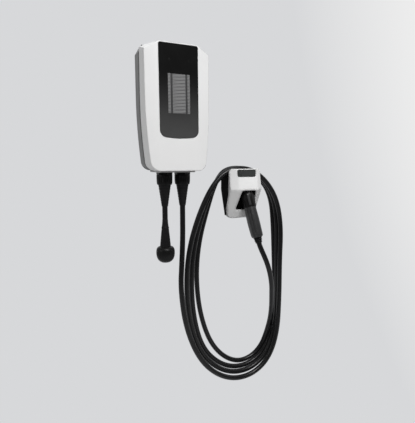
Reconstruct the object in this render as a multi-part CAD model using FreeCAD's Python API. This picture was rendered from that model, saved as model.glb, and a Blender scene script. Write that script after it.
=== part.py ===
import FreeCAD, Part
import math
import os

os.makedirs("parts", exist_ok=True)

V = FreeCAD.Vector

# Frame: X to the right, Y into the wall, Z up. The wall plane is y = 0 and the
# origin is the centre of the wall-screw pattern of the charger.

# Share of a quarter arc's radius that its middle lies inside the corner
QUARTER_SAG = 1 - math.sqrt(0.5)

# Driving dimensions of the charger body
HALF_WIDTH = 105.5
TOP_Z = 192.5
BASE_Z = -192.5
HOUSING_DEPTH = 46.5
SEAL_THICKNESS = 2.5
FRONT_DEPTH = 111.0
FLANK_FALL = 10.0
FLANK_EDGE_DEPTH = FRONT_DEPTH - FLANK_FALL
FRONT_HALF_WIDTH = 71.0
FRONT_LEAN = 0.02
CREASE_RADIUS = 60.0
SIDE_ARC_RADIUS = 1754.0
SIDE_ARC_START_Z = 40.0
BASE_CORNER_RADIUS = 32.0
WALL = 3.0
BACK_WALL = 4.0

# Depths at which the prisms that cut the fronts start and end
PRISM_AHEAD = 29.0
PRISM_INTO = 31.0
AHEAD = FRONT_DEPTH + PRISM_AHEAD
PRISM_END = FRONT_DEPTH - PRISM_INTO
HALF_SPACE_SIZE = 900.0

# Top corners of the housing and the slanted facet of the cover
HOUSING_CUT_WIDTH = 12.5
HOUSING_CUT_HEIGHT = 21.5
COVER_CUT_WIDTH = 8.0
COVER_CUT_HEIGHT = 7.5
FACET_REAR_Z = 184.5
FACET_EDGE_Z = 169.7
FACET_FRONT_X = 66.0
FACET_FRONT_Z = 190.0

# Black panel and the louvred display in it
PANEL_HALF_WIDTH = 64.0
PANEL_TOP_Z = 190.0
PANEL_BASE_Z = -89.5
PANEL_TOP_RADIUS = 6.0
PANEL_BASE_RADIUS = 23.0
PANEL_BASE_SAG = 2.5
PANEL_PROUD = 0.8
PANEL_POCKET = 1.5
PANEL_GAP = 0.3
DISPLAY_TOP_Z = 102.0
DISPLAY_BASE_Z = -16.0
DISPLAY_CENTRE_HALF = 21.8
DISPLAY_SIDE_INNER = 26.8
DISPLAY_SIDE_OUTER = 35.7
DISPLAY_POCKET = 1.3
DISPLAY_PLATE = 0.6
DISPLAY_BARS = 12
DISPLAY_BAR_SHARE = 0.62
DISPLAY_BAR_DROP = 0.1

# Gland plate under the body and the two cable glands
PLATE_HALF_WIDTH = 64.0
PLATE_REAR = 6.0
PLATE_SETBACK = 13.0
PLATE_FRONT = FRONT_DEPTH - PLATE_SETBACK
PLATE_THICKNESS = 5.0
PLATE_CORNER = 12.0
PLUG_IN_HALF_WIDTH = 58.0
PLUG_IN_SETBACK = 16.0
PLUG_IN_FRONT = PLATE_FRONT - PLUG_IN_SETBACK
GLAND_X = 31.2
GLAND_SETBACK = 27.0
GLAND_DEPTH = PLUG_IN_FRONT - GLAND_SETBACK
GLAND_BODY_R = 16.0
GLAND_SEAL_R = 12.5
GLAND_HEX = 42.0
GLAND_FLANGE_HEX = 46.0
GLAND_FLANGE_H = 7.5
LOCKNUT_H = 6.0
THREAD_INSIDE = 9.0
THREAD_BELOW = 24.0
GLAND_NUT_R = 26.0
GLAND_NUT_H = 33.0
GLAND_NUT_SIDES = 16
GLAND_NUT_FLOOR = 8.0
BOOT_TOP_R = 18.8
BOOT_TIP_R = 10.4
BOOT_H = 72.0
BOOT_TIP_Z = BASE_Z - PLATE_THICKNESS - GLAND_FLANGE_H - GLAND_NUT_H - BOOT_H

# Cables
CABLE_D = 18.0
CABLE_R = CABLE_D / 2
INNER_LEAD_TOP_Z = -150.0

# Supply plug at the end of the supply lead, with its domed sealing cap
SUPPLY_LEAD_LENGTH = 44.0
SUPPLY_LEAD_END_Z = BOOT_TIP_Z - SUPPLY_LEAD_LENGTH
SLEEVE_LENGTH = 92.0
# Radius of the sleeve and how far below the end of the lead it has it
SLEEVE_PROFILE = ((9.6, 0.0), (12.5, 18.0), (14.6, 35.0), (16.0, 58.0), (18.2, SLEEVE_LENGTH))
CAP_TOP_Z = SUPPLY_LEAD_END_Z - SLEEVE_LENGTH
CAP_R = 31.0
CAP_SHOULDER_R = 27.0
CAP_SHOULDER_DROP = 7.0
CAP_BELT_DROP = 20.0
CAP_BELT_END_DROP = 32.0
CAP_DOME_R = 22.0
CAP_DOME_DROP = 47.0
CAP_END_R = 13.0
CAP_END_DROP = 53.0

# Cable holder on the wall
HOLDER_X = 263.0
HOLDER_CUT_REACH = 80.0
HOLDER_HALF_WIDTH = 63.0
HOLDER_TOP_Z = -189.0
HOLDER_BASE_Z = -367.0
HOLDER_REAR = 66.0
HOLDER_BEND_Z = -280.0
HOLDER_BASE_REAR = 38.0
HOLDER_TOP_FRONT = 88.0
HOLDER_NOSE_FRONT = 101.0
HOLDER_NOSE_Z = -262.0
HOLDER_BASE_FRONT = 50.0
HOLDER_FLANK_DROP = 18.0
HOLDER_FLANK_WIDTH = 24.0
HOLDER_SIDE_WALL = 4.0
HOLDER_TOP_CORNER = 10.0
HOLDER_BASE_CORNER = 26.0
MOUTH_X = 266.0
MOUTH_TOP_Z = -265.0
MOUTH_BASE_Z = -335.0
MOUTH_TOP_HALF = 28.0
MOUTH_BASE_HALF = 37.0
MOUTH_CORNER = 7.0
DRUM_TOP_Z = -197.0
DRUM_HALF_WIDTH = 58.0
DRUM_SHOULDER_Z = -219.0
DRUM_SIDE_Z = -265.0
DRUM_BASE_HALF = 42.0
DRUM_BASE_Z = -362.0
WINDOW_X = 267.0
WINDOW_HALF_WIDTH = 32.0
WINDOW_TOP_Z = -191.5
WINDOW_BASE_Z = -217.0
WINDOW_CORNER = 7.0
WINDOW_POCKET = 1.4
HOLDER_SCREW_X = 40.0
HOLDER_SCREW_Z = (-232.0, -316.0)

# Charging plug, on an axis that leans forward and to the right
NOSE_POINT = V(262.0, -58.0, -222.0)
PLUG_AXIS = V(0.119, -0.278, -0.953)
NOSE_R = 22.0
NOSE_LENGTH = 57.0
NOSE_WALL = 3.0
SHROUD_DEPTH = 24.0
COLLAR_R = 24.5
COLLAR_END = 77.0
HANDLE_WAIST_R = 21.5
HANDLE_WAIST = 118.0
HANDLE_BELLY_R = 24.5
HANDLE_BELLY = 165.0
HANDLE_END_R = 21.0
HANDLE_END = 218.0
NECK_R = 13.5
NECK_RIB_R = 16.0
NECK_END = 240.0
CUP_WALL = 3.2
CUP_FLOOR = 4.0
CUP_LENGTH = 44.0
RUNNING_GAP = 0.4
HANDLE_GAP = 3.0
PIN_R = 3.0
PIN_CIRCLE = 11.5
PIN_COUNT = 5
SIGNAL_R = 1.5
SIGNAL_X = 6.0
SIGNAL_Y = 15.0

# Holes for the wall screws, and the screws of the cover
WALL_SCREW_X = 75.0
WALL_SCREW_Z = 145.0
WALL_HOLE_R = 3.3
HOLDER_SCREW_SEAT = 30.0
HOLDER_SCREW_WELL_R = 7.0
COVER_SCREW_R = 2.0
COVER_SCREW_HEAD_R = 4.0
COVER_SCREW_X = 52.0
COVER_SCREW_Z = (-72.0, 165.0)
COVER_SCREW_SETBACK = 11.0
COVER_SCREW_SEAT = FRONT_DEPTH - COVER_SCREW_SETBACK
COVER_SCREW_HEAD_H = 4.0
COVER_SCREW_TIP = 36.0
COVER_SCREW_LENGTH = COVER_SCREW_SEAT - COVER_SCREW_TIP
COVER_HOLE_END = 30.0
POST_R = 7.0

# Electrical fittings inside, behind the control board
BOARD_SETBACK = 23.0
BOARD_DEPTH = FRONT_DEPTH - BOARD_SETBACK
RAIL_Z = -20.0
RAIL_HALF_LENGTH = 72.0
RAIL_HEIGHT = 35.0
RAIL_WEB_HEIGHT = 25.0
RAIL_DEPTH = 7.5
RAIL_SHEET = 1.2
MODULE_CLEARANCE = 28.0
MODULE_DEPTH = BOARD_DEPTH - MODULE_CLEARANCE
MODULE_HEIGHT = 84.0
DEVICE_X = (-66.0, -12.0)
DEVICE_STEP = 12.0
CONTACTOR_X = (-8.0, 62.0)
CONTACTOR_STEP = 8.0
TERMINAL_HALF_WIDTH = 50.0
TERMINAL_TOP_Z = -118.0
TERMINAL_CLEARANCE = 19.0
TERMINAL_DEPTH = BOARD_DEPTH - TERMINAL_CLEARANCE
ENTRY_COUNT = 10
ENTRY_SIZE = 6.0
ENTRY_DEPTH = 8.0
BOARD_HALF_WIDTH = 58.0
BOARD_TOP_Z = 125.0
BOARD_BASE_Z = -40.0
BOARD_THICKNESS = 1.6
BOARD_POST_R = 4.0
BOARD_POST_X = 54.0
BOARD_POST_Z = (40.0, 118.0)
# Components on the board: left, right, height, bottom and top
BOARD_PARTS = (
    (-40.0, -8.0, 6.0, 40.0, 80.0), (10.0, 44.0, 5.0, 55.0, 95.0),
    (-44.0, -20.0, 9.0, -25.0, 5.0), (0.0, 46.0, 7.0, -20.0, 22.0),
)

# Coil of the charging cable over the holder
COIL_LEFT_X = 19.5
COIL_LEFT_STEP = 25.0
COIL_RIGHT_X = 425.0
COIL_RIGHT_STEP = 3.0
COIL_TOP_Z = -188.0
COIL_BASE_Z = (-974.0, -957.0, -946.0, -939.0)
COIL_FRONT = 75.5
COIL_PITCH = 19.5
COIL_SHAPE = (
    (0.470, 0.000), (0.290, 0.062), (0.130, 0.190), (0.020, 0.350), (-0.015, 0.520), (0.030, 0.700),
    (0.150, 0.860), (0.320, 0.960), (0.520, 1.012), (0.730, 1.008), (0.900, 0.945), (0.995, 0.820),
    (1.015, 0.640), (1.012, 0.450), (1.015, 0.290), (0.965, 0.155), (0.850, 0.062), (0.680, 0.000),
)
COIL_FAN_SHARE = 0.35
COIL_WALL_GAP = 4.0
COIL_DRUM_GAP = 0.5
COIL_LEAD_END_Z = -430.0
COIL_NOTCH_X = 45.0
COIL_WEDGE_TOP_Z = -260.0
COIL_WEDGE_BASE_Z = -420.0
COIL_FIRST_POINT = 4
COIL_LAST_POINT = 8
LEAD_IN_DROP = 48.0
LEAD_IN = ((29.0, -59.5, -424.0), (22.0, -68.0, -502.0))
TAIL = (
    (337.0, -16.5, -941.0), (382.0, -18.0, -903.0), (400.0, -27.0, -845.0), (401.0, -48.0, -783.0),
    (390.0, -76.0, -722.0), (370.0, -103.0, -664.0), (346.0, -126.0, -610.0), (320.0, -139.0, -558.0),
)
TAIL_STRAIGHT = 56.0


def export(node, shape):
    """Write one closed solid as a step file and print its volume."""
    shape.exportStep("parts/" + node + ".step")
    print(node, len(shape.Solids), "solid", round(shape.Volume), "mm3", shape.isValid())


def block(x0, x1, y0, y1, z0, z1):
    """Box between two corners."""
    return Part.makeBox(x1 - x0, y1 - y0, z1 - z0, V(x0, y0, z0))


def rod(point, direction, radius, length):
    """Cylinder from a point along a direction."""
    return Part.makeCylinder(radius, length, point, direction)


def prism(points, direction):
    """Flat polygon pushed along a direction."""
    wire = Part.makePolygon(list(points) + [points[0]])
    return Part.Face(wire).extrude(direction)


def turned(profile, point, direction):
    """Solid of revolution: profile is a list of (radius, distance along the axis)."""
    corners = [V(0, 0, profile[0][1])]
    corners += [V(r, 0, s) for r, s in profile]
    corners += [V(0, 0, profile[-1][1])]
    face = Part.Face(Part.makePolygon(corners + [corners[0]]))
    solid = face.revolve(V(0, 0, 0), V(0, 0, 1), 360)
    solid.Placement = FreeCAD.Placement(point, FreeCAD.Rotation(V(0, 0, 1), direction))
    return solid


def half_space(point, normal):
    """Large block that fills the side of a plane to which the normal points."""
    size = HALF_SPACE_SIZE
    solid = Part.makeBox(size, size, size, V(-size / 2, -size / 2, 0))
    solid.Placement = FreeCAD.Placement(point, FreeCAD.Rotation(V(0, 0, 1), normal))
    return solid


def rounded_path(points, closed=False):
    """Straight runs joined by tangent arcs: the edges of a route and the radii of its arcs."""
    count = len(points)
    corners = range(count) if closed else range(1, count - 1)
    starts, ends, mids, radii = {}, {}, {}, []
    for i in corners:
        here = points[i]
        back = points[i - 1] - here
        on = points[(i + 1) % count] - here
        reach = 0.45 * min(back.Length, on.Length)
        back.normalize()
        on.normalize()
        half_turn = (math.pi - back.getAngle(on)) / 2
        radius = reach / math.tan(half_turn)
        inward = back + on
        inward.normalize()
        centre = here + inward * (radius / math.cos(half_turn))
        starts[i] = here + back * reach
        ends[i] = here + on * reach
        mids[i] = centre - inward * radius
        radii.append(radius)
    edges = []
    for i in range(count if closed else count - 1):
        j = (i + 1) % count
        first = ends.get(i, points[i])
        last = starts.get(j, points[j])
        edges.append(Part.LineSegment(first, last).toShape())
        if j in mids:
            edges.append(Part.Arc(starts[j], mids[j], ends[j]).toShape())
    return edges, radii


def tube(points, radius, label):
    """Cable along a route of points, with its radii and volume printed."""
    edges, radii = rounded_path(points)
    wire = Part.Wire(edges)
    direction = points[1] - points[0]
    profile = Part.Wire([Part.makeCircle(radius, points[0], direction)])
    solid = wire.makePipeShell([profile], True, False)
    section = math.pi * radius * radius
    ratio = solid.Volume / (section * wire.Length)
    print(label, "length", round(wire.Length), "volume ratio", round(ratio, 4))
    print(label, "radii", [round(r) for r in radii])
    return solid


def side_x(half_width, z):
    """Half width of the body at a height: straight above, a long arc below."""
    fall = max(0.0, SIDE_ARC_START_Z - z)
    return half_width - fall * fall / (2 * SIDE_ARC_RADIUS)


def body_outline(inset, y, cut_width, cut_height):
    """Front outline of the body as a wire in the plane y."""
    half = HALF_WIDTH - inset
    top = TOP_Z - inset
    base = BASE_Z + inset
    radius = BASE_CORNER_RADIUS - inset
    low = base + radius
    mid_z = (SIDE_ARC_START_Z + low) / 2
    low_x = side_x(half, low)
    flat_x = low_x - radius
    diagonal = radius * math.sqrt(0.5)
    edges = []
    for sign in (1, -1):
        shoulder = V(sign * half, y, top - cut_height)
        straight_end = V(sign * half, y, SIDE_ARC_START_Z)
        corner_start = V(sign * low_x, y, low)
        corner_mid = V(sign * (flat_x + diagonal), y, low - diagonal)
        corner_end = V(sign * flat_x, y, base)
        edges.append(Part.LineSegment(V(sign * (half - cut_width), y, top), shoulder).toShape())
        edges.append(Part.LineSegment(shoulder, straight_end).toShape())
        edges.append(Part.Arc(straight_end, V(sign * side_x(half, mid_z), y, mid_z), corner_start).toShape())
        edges.append(Part.Arc(corner_start, corner_mid, corner_end).toShape())
    edges.append(Part.LineSegment(V(-flat_x, y, base), V(flat_x, y, base)).toShape())
    edges.append(Part.LineSegment(V(cut_width - half, y, top), V(half - cut_width, y, top)).toShape())
    return Part.Wire(Part.__sortEdges__(edges))


def body_prism(inset, y0, y1, cut_width, cut_height):
    """Body outline pushed from depth y0 to depth y1."""
    wire = body_outline(inset, y0, cut_width, cut_height)
    return Part.Face(wire).extrude(V(0, y1 - y0, 0))


def crease_points(inset, sign):
    """Start, middle and end of the rounded crease between flank and front."""
    slope = (FRONT_DEPTH - FLANK_EDGE_DEPTH) / (HALF_WIDTH - FRONT_HALF_WIDTH)
    angle = math.atan(slope)
    reach = CREASE_RADIUS * math.tan(angle / 2)
    depth = FRONT_DEPTH - inset
    on_flank = V(sign * (FRONT_HALF_WIDTH + reach * math.cos(angle)), -depth + reach * math.sin(angle), 0)
    on_front = V(sign * (FRONT_HALF_WIDTH - reach), -depth, 0)
    lift = CREASE_RADIUS * (1 - math.cos(angle / 2))
    middle_x = on_front.x + sign * CREASE_RADIUS * math.sin(angle / 2)
    return on_flank, V(middle_x, -depth + lift, 0), on_front


def front_form(inset):
    """Leaning prism whose section has the front, the two flanks and soft creases."""
    slope = (FRONT_DEPTH - FLANK_EDGE_DEPTH) / (HALF_WIDTH - FRONT_HALF_WIDTH)
    outside = HALF_WIDTH + 4.0
    edge_y = -(FRONT_DEPTH - inset) + slope * (outside - FRONT_HALF_WIDTH)
    rear_y = 60.0
    flank_r, mid_r, front_r = crease_points(inset, 1)
    flank_l, mid_l, front_l = crease_points(inset, -1)
    corner_r = V(outside, edge_y, 0)
    corner_l = V(-outside, edge_y, 0)
    edges = [
        Part.LineSegment(V(outside, rear_y, 0), corner_r).toShape(),
        Part.LineSegment(corner_r, flank_r).toShape(),
        Part.Arc(flank_r, mid_r, front_r).toShape(),
        Part.LineSegment(front_r, front_l).toShape(),
        Part.Arc(front_l, mid_l, flank_l).toShape(),
        Part.LineSegment(flank_l, corner_l).toShape(),
        Part.LineSegment(corner_l, V(-outside, rear_y, 0)).toShape(),
        Part.LineSegment(V(-outside, rear_y, 0), V(outside, rear_y, 0)).toShape(),
    ]
    margin = 10.0
    rise = margin
    fall = TOP_Z - BASE_Z + margin
    face = Part.Face(Part.Wire(edges))
    face.translate(V(0, FRONT_LEAN * rise, TOP_Z + rise))
    return face.extrude(V(0, -FRONT_LEAN * (rise + fall), -(rise + fall)))


def lean_slab(out, into):
    """Slab between two planes parallel to the front, out and into measured from it."""
    reach = 30.0
    top = TOP_Z + reach
    base = BASE_Z - reach
    shift_top = FRONT_LEAN * reach
    shift_base = FRONT_LEAN * (TOP_Z - base)
    points = [
        V(-HALF_WIDTH, -FRONT_DEPTH - out + shift_top, top),
        V(-HALF_WIDTH, -FRONT_DEPTH + into + shift_top, top),
        V(-HALF_WIDTH, -FRONT_DEPTH + into - shift_base, base),
        V(-HALF_WIDTH, -FRONT_DEPTH - out - shift_base, base),
    ]
    return prism(points, V(2 * HALF_WIDTH, 0, 0))


def cover_facet(side, inset):
    """Half space that cuts the slanted facet at one top corner of the cover."""
    rear = V(side * HALF_WIDTH, -HOUSING_DEPTH, FACET_REAR_Z)
    edge = V(side * HALF_WIDTH, -FLANK_EDGE_DEPTH, FACET_EDGE_Z)
    front = V(side * FACET_FRONT_X, -FRONT_DEPTH, FACET_FRONT_Z)
    normal = (edge - rear).cross(front - rear)
    if normal.z < 0:
        normal = normal * -1
    normal.normalize()
    return half_space(rear - normal * inset, normal)


def cover_form(inset, rear):
    """Outer or inner form of the cover, from its rear edge to its front."""
    form = body_prism(inset, -rear, -AHEAD, COVER_CUT_WIDTH, COVER_CUT_HEIGHT)
    form = form.common(front_form(inset))
    for side in (-1, 1):
        form = form.cut(cover_facet(side, inset))
    return form


def panel_prism(gap):
    """Outline of the black panel pushed through the front."""
    half = PANEL_HALF_WIDTH + gap
    top = PANEL_TOP_Z + gap
    base = PANEL_BASE_Z - gap
    y = -AHEAD
    edges = []
    top_sag = QUARTER_SAG * PANEL_TOP_RADIUS
    base_sag = QUARTER_SAG * PANEL_BASE_RADIUS
    for sign in (1, -1):
        top_in = V(sign * (half - PANEL_TOP_RADIUS), y, top)
        top_mid = V(sign * (half - top_sag), y, top - top_sag)
        top_out = V(sign * half, y, top - PANEL_TOP_RADIUS)
        low_out = V(sign * half, y, base + PANEL_BASE_RADIUS)
        low_mid = V(sign * (half - base_sag), y, base + base_sag)
        low_in = V(sign * (half - PANEL_BASE_RADIUS), y, base)
        edges.append(Part.Arc(top_in, top_mid, top_out).toShape())
        edges.append(Part.LineSegment(top_out, low_out).toShape())
        edges.append(Part.Arc(low_out, low_mid, low_in).toShape())
    flat = half - PANEL_BASE_RADIUS
    edges.append(Part.Arc(V(-flat, y, base), V(0, y, base - PANEL_BASE_SAG), V(flat, y, base)).toShape())
    top_flat = half - PANEL_TOP_RADIUS
    edges.append(Part.LineSegment(V(-top_flat, y, top), V(top_flat, y, top)).toShape())
    return Part.Face(Part.Wire(Part.__sortEdges__(edges))).extrude(V(0, AHEAD - PRISM_END, 0))


def display_columns():
    """The three upright fields of the display, each pushed through the front."""
    fields = []
    spans = (
        (-DISPLAY_SIDE_OUTER, -DISPLAY_SIDE_INNER),
        (-DISPLAY_CENTRE_HALF, DISPLAY_CENTRE_HALF),
        (DISPLAY_SIDE_INNER, DISPLAY_SIDE_OUTER),
    )
    for x0, x1 in spans:
        fields.append(block(x0, x1, -AHEAD, -PRISM_END, DISPLAY_BASE_Z, DISPLAY_TOP_Z))
    return fields


def display_pocket():
    """Pocket in the panel for the display, one hollow with a flat floor."""
    field = block(-DISPLAY_SIDE_OUTER, DISPLAY_SIDE_OUTER, -AHEAD, -PRISM_END, DISPLAY_BASE_Z, DISPLAY_TOP_Z)
    return field.common(lean_slab(5.0, DISPLAY_POCKET - PANEL_PROUD))


def make_display():
    """Louvred display: a thin plate with rows of bars in three columns."""
    field = block(-DISPLAY_SIDE_OUTER, DISPLAY_SIDE_OUTER, -AHEAD, -PRISM_END, DISPLAY_BASE_Z, DISPLAY_TOP_Z)
    floor = DISPLAY_POCKET - PANEL_PROUD
    plate = field.common(lean_slab(DISPLAY_PLATE - floor, floor))
    pitch = (DISPLAY_TOP_Z - DISPLAY_BASE_Z) / DISPLAY_BARS
    height = pitch * DISPLAY_BAR_SHARE
    bars = lean_slab(PANEL_PROUD - DISPLAY_BAR_DROP, floor)
    solid = plate
    for column in display_columns():
        rows = []
        for i in range(DISPLAY_BARS):
            z0 = DISPLAY_BASE_Z + i * pitch + (pitch - height) / 2
            rows.append(block(-HALF_WIDTH, HALF_WIDTH, -AHEAD, -PRISM_END, z0, z0 + height).common(column))
        for row in rows:
            solid = solid.fuse(row.common(bars))
    return solid.removeSplitter()


def gland_holes(x, radius, z0, z1):
    """Upright cylinder at a gland axis between two heights."""
    return rod(V(x, -GLAND_DEPTH, z0), V(0, 0, 1), radius, z1 - z0)


def hexagon(x, across, z0, z1, sides=6):
    """Upright prism of regular section at a gland axis."""
    radius = across / 2 / math.cos(math.pi / sides)
    points = []
    for i in range(sides):
        angle = 2 * math.pi * (i + 0.5) / sides
        points.append(V(x + radius * math.cos(angle), -GLAND_DEPTH + radius * math.sin(angle), z0))
    return prism(points, V(0, 0, z1 - z0))


def plate_middle(base):
    """Raised middle of the gland plate from a height up to the inside of the body's floor."""
    half = PLUG_IN_HALF_WIDTH
    return block(-half, half, -PLUG_IN_FRONT, -PLATE_REAR, base, BASE_Z + WALL)


def make_gland_plate():
    """Plate under the body that carries both glands, with a raised middle that fills the cut-out."""
    z0 = BASE_Z - PLATE_THICKNESS
    plate = block(-PLATE_HALF_WIDTH, PLATE_HALF_WIDTH, -PLATE_FRONT, -PLATE_REAR, z0, BASE_Z)
    corners = [e for e in plate.Edges if abs(e.tangentAt(e.FirstParameter).z) > 0.9]
    front = [e for e in corners if e.CenterOfMass.y < -GLAND_DEPTH]
    plate = plate.makeFillet(PLATE_CORNER, front)
    middle = plate_middle(BASE_Z)
    plate = plate.fuse(middle).removeSplitter()
    for sign in (-1, 1):
        plate = plate.cut(gland_holes(sign * GLAND_X, GLAND_BODY_R, z0 - 1, BASE_Z + WALL + 1))
    return plate


def plate_cutout():
    """Space that the raised middle of the gland plate fills in the body's floor."""
    return plate_middle(BASE_Z - 1)


def cover_screw_places():
    """Places of the screws that hold the cover to the housing posts."""
    return [(sign * COVER_SCREW_X, z) for z in COVER_SCREW_Z for sign in (-1, 1)]


def wall_screw_places():
    """Places of the four wall screws of the charger."""
    return [(sx * WALL_SCREW_X, sz * WALL_SCREW_Z) for sz in (1, -1) for sx in (-1, 1)]


def make_housing():
    """Rear housing: a tray on the wall with posts for the cover screws and the board."""
    outer = body_prism(0.0, 0.0, -HOUSING_DEPTH, HOUSING_CUT_WIDTH, HOUSING_CUT_HEIGHT)
    inner = body_prism(WALL, -BACK_WALL, -HOUSING_DEPTH - 1, HOUSING_CUT_WIDTH, HOUSING_CUT_HEIGHT)
    tray = outer.cut(inner)
    for x, z in cover_screw_places():
        post = rod(V(x, -BACK_WALL, z), V(0, -1, 0), POST_R, HOUSING_DEPTH - BACK_WALL)
        tray = tray.fuse(post)
    for x, z in board_post_places():
        tray = tray.fuse(rod(V(x, -BACK_WALL, z), V(0, -1, 0), BOARD_POST_R, BOARD_DEPTH - BACK_WALL))
    for x, z in cover_screw_places():
        tray = tray.cut(rod(V(x, -COVER_HOLE_END, z), V(0, -1, 0), COVER_SCREW_R, HOUSING_DEPTH))
    for x, z in wall_screw_places():
        tray = tray.cut(rod(V(x, 1, z), V(0, -1, 0), WALL_HOLE_R, BACK_WALL + 2))
    return tray.cut(plate_cutout()).removeSplitter()


def make_seal():
    """Dark seal between the housing rim and the cover rim."""
    depth = HOUSING_DEPTH + SEAL_THICKNESS
    outer = body_prism(0.6, -HOUSING_DEPTH, -depth, COVER_CUT_WIDTH, COVER_CUT_HEIGHT + 10)
    inner = body_prism(WALL, -HOUSING_DEPTH + 1, -depth - 1, COVER_CUT_WIDTH, COVER_CUT_HEIGHT + 10)
    return outer.cut(inner).cut(plate_cutout())


def make_cover():
    """White front cover: shell with flanks, panel pocket and sleeves for screws under the panel."""
    rear = HOUSING_DEPTH + SEAL_THICKNESS
    inner = cover_form(WALL, rear - 5)
    cover = cover_form(0.0, rear).cut(inner)
    sleeves = inner.common(block(-HALF_WIDTH, HALF_WIDTH, -AHEAD, -HOUSING_DEPTH, BASE_Z, TOP_Z))
    for x, z in cover_screw_places():
        sleeve = rod(V(x, -HOUSING_DEPTH, z), V(0, -1, 0), POST_R, AHEAD - HOUSING_DEPTH).common(sleeves)
        cover = cover.fuse(sleeve)
    pocket = panel_prism(PANEL_GAP).common(lean_slab(20.0, PANEL_POCKET))
    cover = cover.cut(pocket).cut(plate_cutout())
    for x, z in cover_screw_places():
        cover = cover.cut(rod(V(x, -HOUSING_DEPTH + 1, z), V(0, -1, 0), COVER_SCREW_R, COVER_SCREW_SEAT))
        well = COVER_SCREW_HEAD_R + RUNNING_GAP
        cover = cover.cut(rod(V(x, -COVER_SCREW_SEAT, z), V(0, -1, 0), well, AHEAD - COVER_SCREW_SEAT))
    return cover.removeSplitter()


def make_panel():
    """Black panel in the cover's pocket, a little proud of the front."""
    panel = panel_prism(0.0).common(lean_slab(PANEL_PROUD, PANEL_POCKET))
    return panel.cut(display_pocket())


def make_rail():
    """Top-hat rail across the back of the housing."""
    half = RAIL_HEIGHT / 2
    web = RAIL_WEB_HEIGHT / 2
    deep = BACK_WALL + RAIL_DEPTH
    face = BACK_WALL + RAIL_SHEET
    section = [
        (-BACK_WALL, web), (-deep, web), (-deep, half), (-deep + RAIL_SHEET, half),
        (-deep + RAIL_SHEET, web + RAIL_SHEET), (-BACK_WALL, web + RAIL_SHEET),
    ]
    upper = [V(-RAIL_HALF_LENGTH, y, RAIL_Z + z) for y, z in section]
    lower = [V(-RAIL_HALF_LENGTH, y, RAIL_Z - z) for y, z in section]
    span = V(2 * RAIL_HALF_LENGTH, 0, 0)
    web_plate = block(-RAIL_HALF_LENGTH, RAIL_HALF_LENGTH, -face, -BACK_WALL, RAIL_Z - web, RAIL_Z + web)
    return prism(upper, span).fuse(prism(lower, span)).fuse(web_plate).removeSplitter()


def make_module(span, nose):
    """Rail-mounted device with a stepped front."""
    x0, x1 = span
    rear = BACK_WALL + RAIL_DEPTH
    half = MODULE_HEIGHT / 2
    base = block(x0, x1, -MODULE_DEPTH + nose, -rear, RAIL_Z - half, RAIL_Z + half)
    step = block(x0, x1, -MODULE_DEPTH, -MODULE_DEPTH + nose, RAIL_Z - half / 2, RAIL_Z + half / 2)
    return base.fuse(step).removeSplitter()


def make_terminals():
    """Terminal block low in the housing, with wire entries along its top."""
    solid = block(-TERMINAL_HALF_WIDTH, TERMINAL_HALF_WIDTH, -TERMINAL_DEPTH, -BACK_WALL,
                  INNER_LEAD_TOP_Z, TERMINAL_TOP_Z)
    pitch = 2 * TERMINAL_HALF_WIDTH / ENTRY_COUNT
    half = ENTRY_SIZE / 2
    y0 = -TERMINAL_DEPTH + ENTRY_DEPTH
    for i in range(ENTRY_COUNT):
        x = -TERMINAL_HALF_WIDTH + (i + 0.5) * pitch
        entry = block(x - half, x + half, y0, y0 + ENTRY_SIZE, TERMINAL_TOP_Z - ENTRY_DEPTH, TERMINAL_TOP_Z)
        solid = solid.cut(entry)
    return solid


def board_post_places():
    """Places of the posts under the control board."""
    return [(sx * BOARD_POST_X, z) for z in BOARD_POST_Z for sx in (-1, 1)]


def make_board():
    """Control board behind the display, with its larger components."""
    board = block(-BOARD_HALF_WIDTH, BOARD_HALF_WIDTH, -BOARD_DEPTH - BOARD_THICKNESS, -BOARD_DEPTH,
                  BOARD_BASE_Z, BOARD_TOP_Z)
    front = -BOARD_DEPTH - BOARD_THICKNESS
    for x0, x1, height, z0, z1 in BOARD_PARTS:
        board = board.fuse(block(x0, x1, front - height, front, z0, z1))
    return board.removeSplitter()


def make_gland(sign):
    """Pieces of one cable gland: body, locknut, seal, nut and bend boot."""
    x = sign * GLAND_X
    plate_base = BASE_Z - PLATE_THICKNESS
    inside = BASE_Z + WALL + THREAD_INSIDE
    flange_base = plate_base - GLAND_FLANGE_H
    thread_base = flange_base - THREAD_BELOW
    nut_base = flange_base - GLAND_NUT_H
    body = gland_holes(x, GLAND_BODY_R, thread_base, inside)
    body = body.fuse(hexagon(x, GLAND_FLANGE_HEX, flange_base, plate_base))
    body = body.cut(gland_holes(x, GLAND_SEAL_R, thread_base - 1, inside + 1)).removeSplitter()
    locknut = hexagon(x, GLAND_HEX, BASE_Z + WALL, BASE_Z + WALL + LOCKNUT_H)
    locknut = locknut.cut(gland_holes(x, GLAND_BODY_R, BASE_Z, inside))
    seal = gland_holes(x, GLAND_SEAL_R, thread_base, inside)
    seal = seal.cut(gland_holes(x, CABLE_R, thread_base - 1, inside + 1))
    nut = hexagon(x, 2 * GLAND_NUT_R, nut_base, flange_base, GLAND_NUT_SIDES)
    nut = nut.cut(gland_holes(x, GLAND_BODY_R, nut_base + GLAND_NUT_FLOOR, flange_base))
    nut = nut.cut(gland_holes(x, GLAND_SEAL_R, nut_base - 1, flange_base))
    boot = turned([(BOOT_TOP_R, 0), (BOOT_TIP_R, BOOT_H)], V(x, -GLAND_DEPTH, nut_base), V(0, 0, -1))
    boot = boot.cut(gland_holes(x, CABLE_R, nut_base - BOOT_H - 1, nut_base + 1))
    return {"body": body, "locknut": locknut, "seal": seal, "nut": nut, "boot": boot}


def make_inner_lead(sign):
    """Cable inside the gland, from the terminal block to the tip of the boot."""
    return gland_holes(sign * GLAND_X, CABLE_R, BOOT_TIP_Z, INNER_LEAD_TOP_Z)


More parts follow.
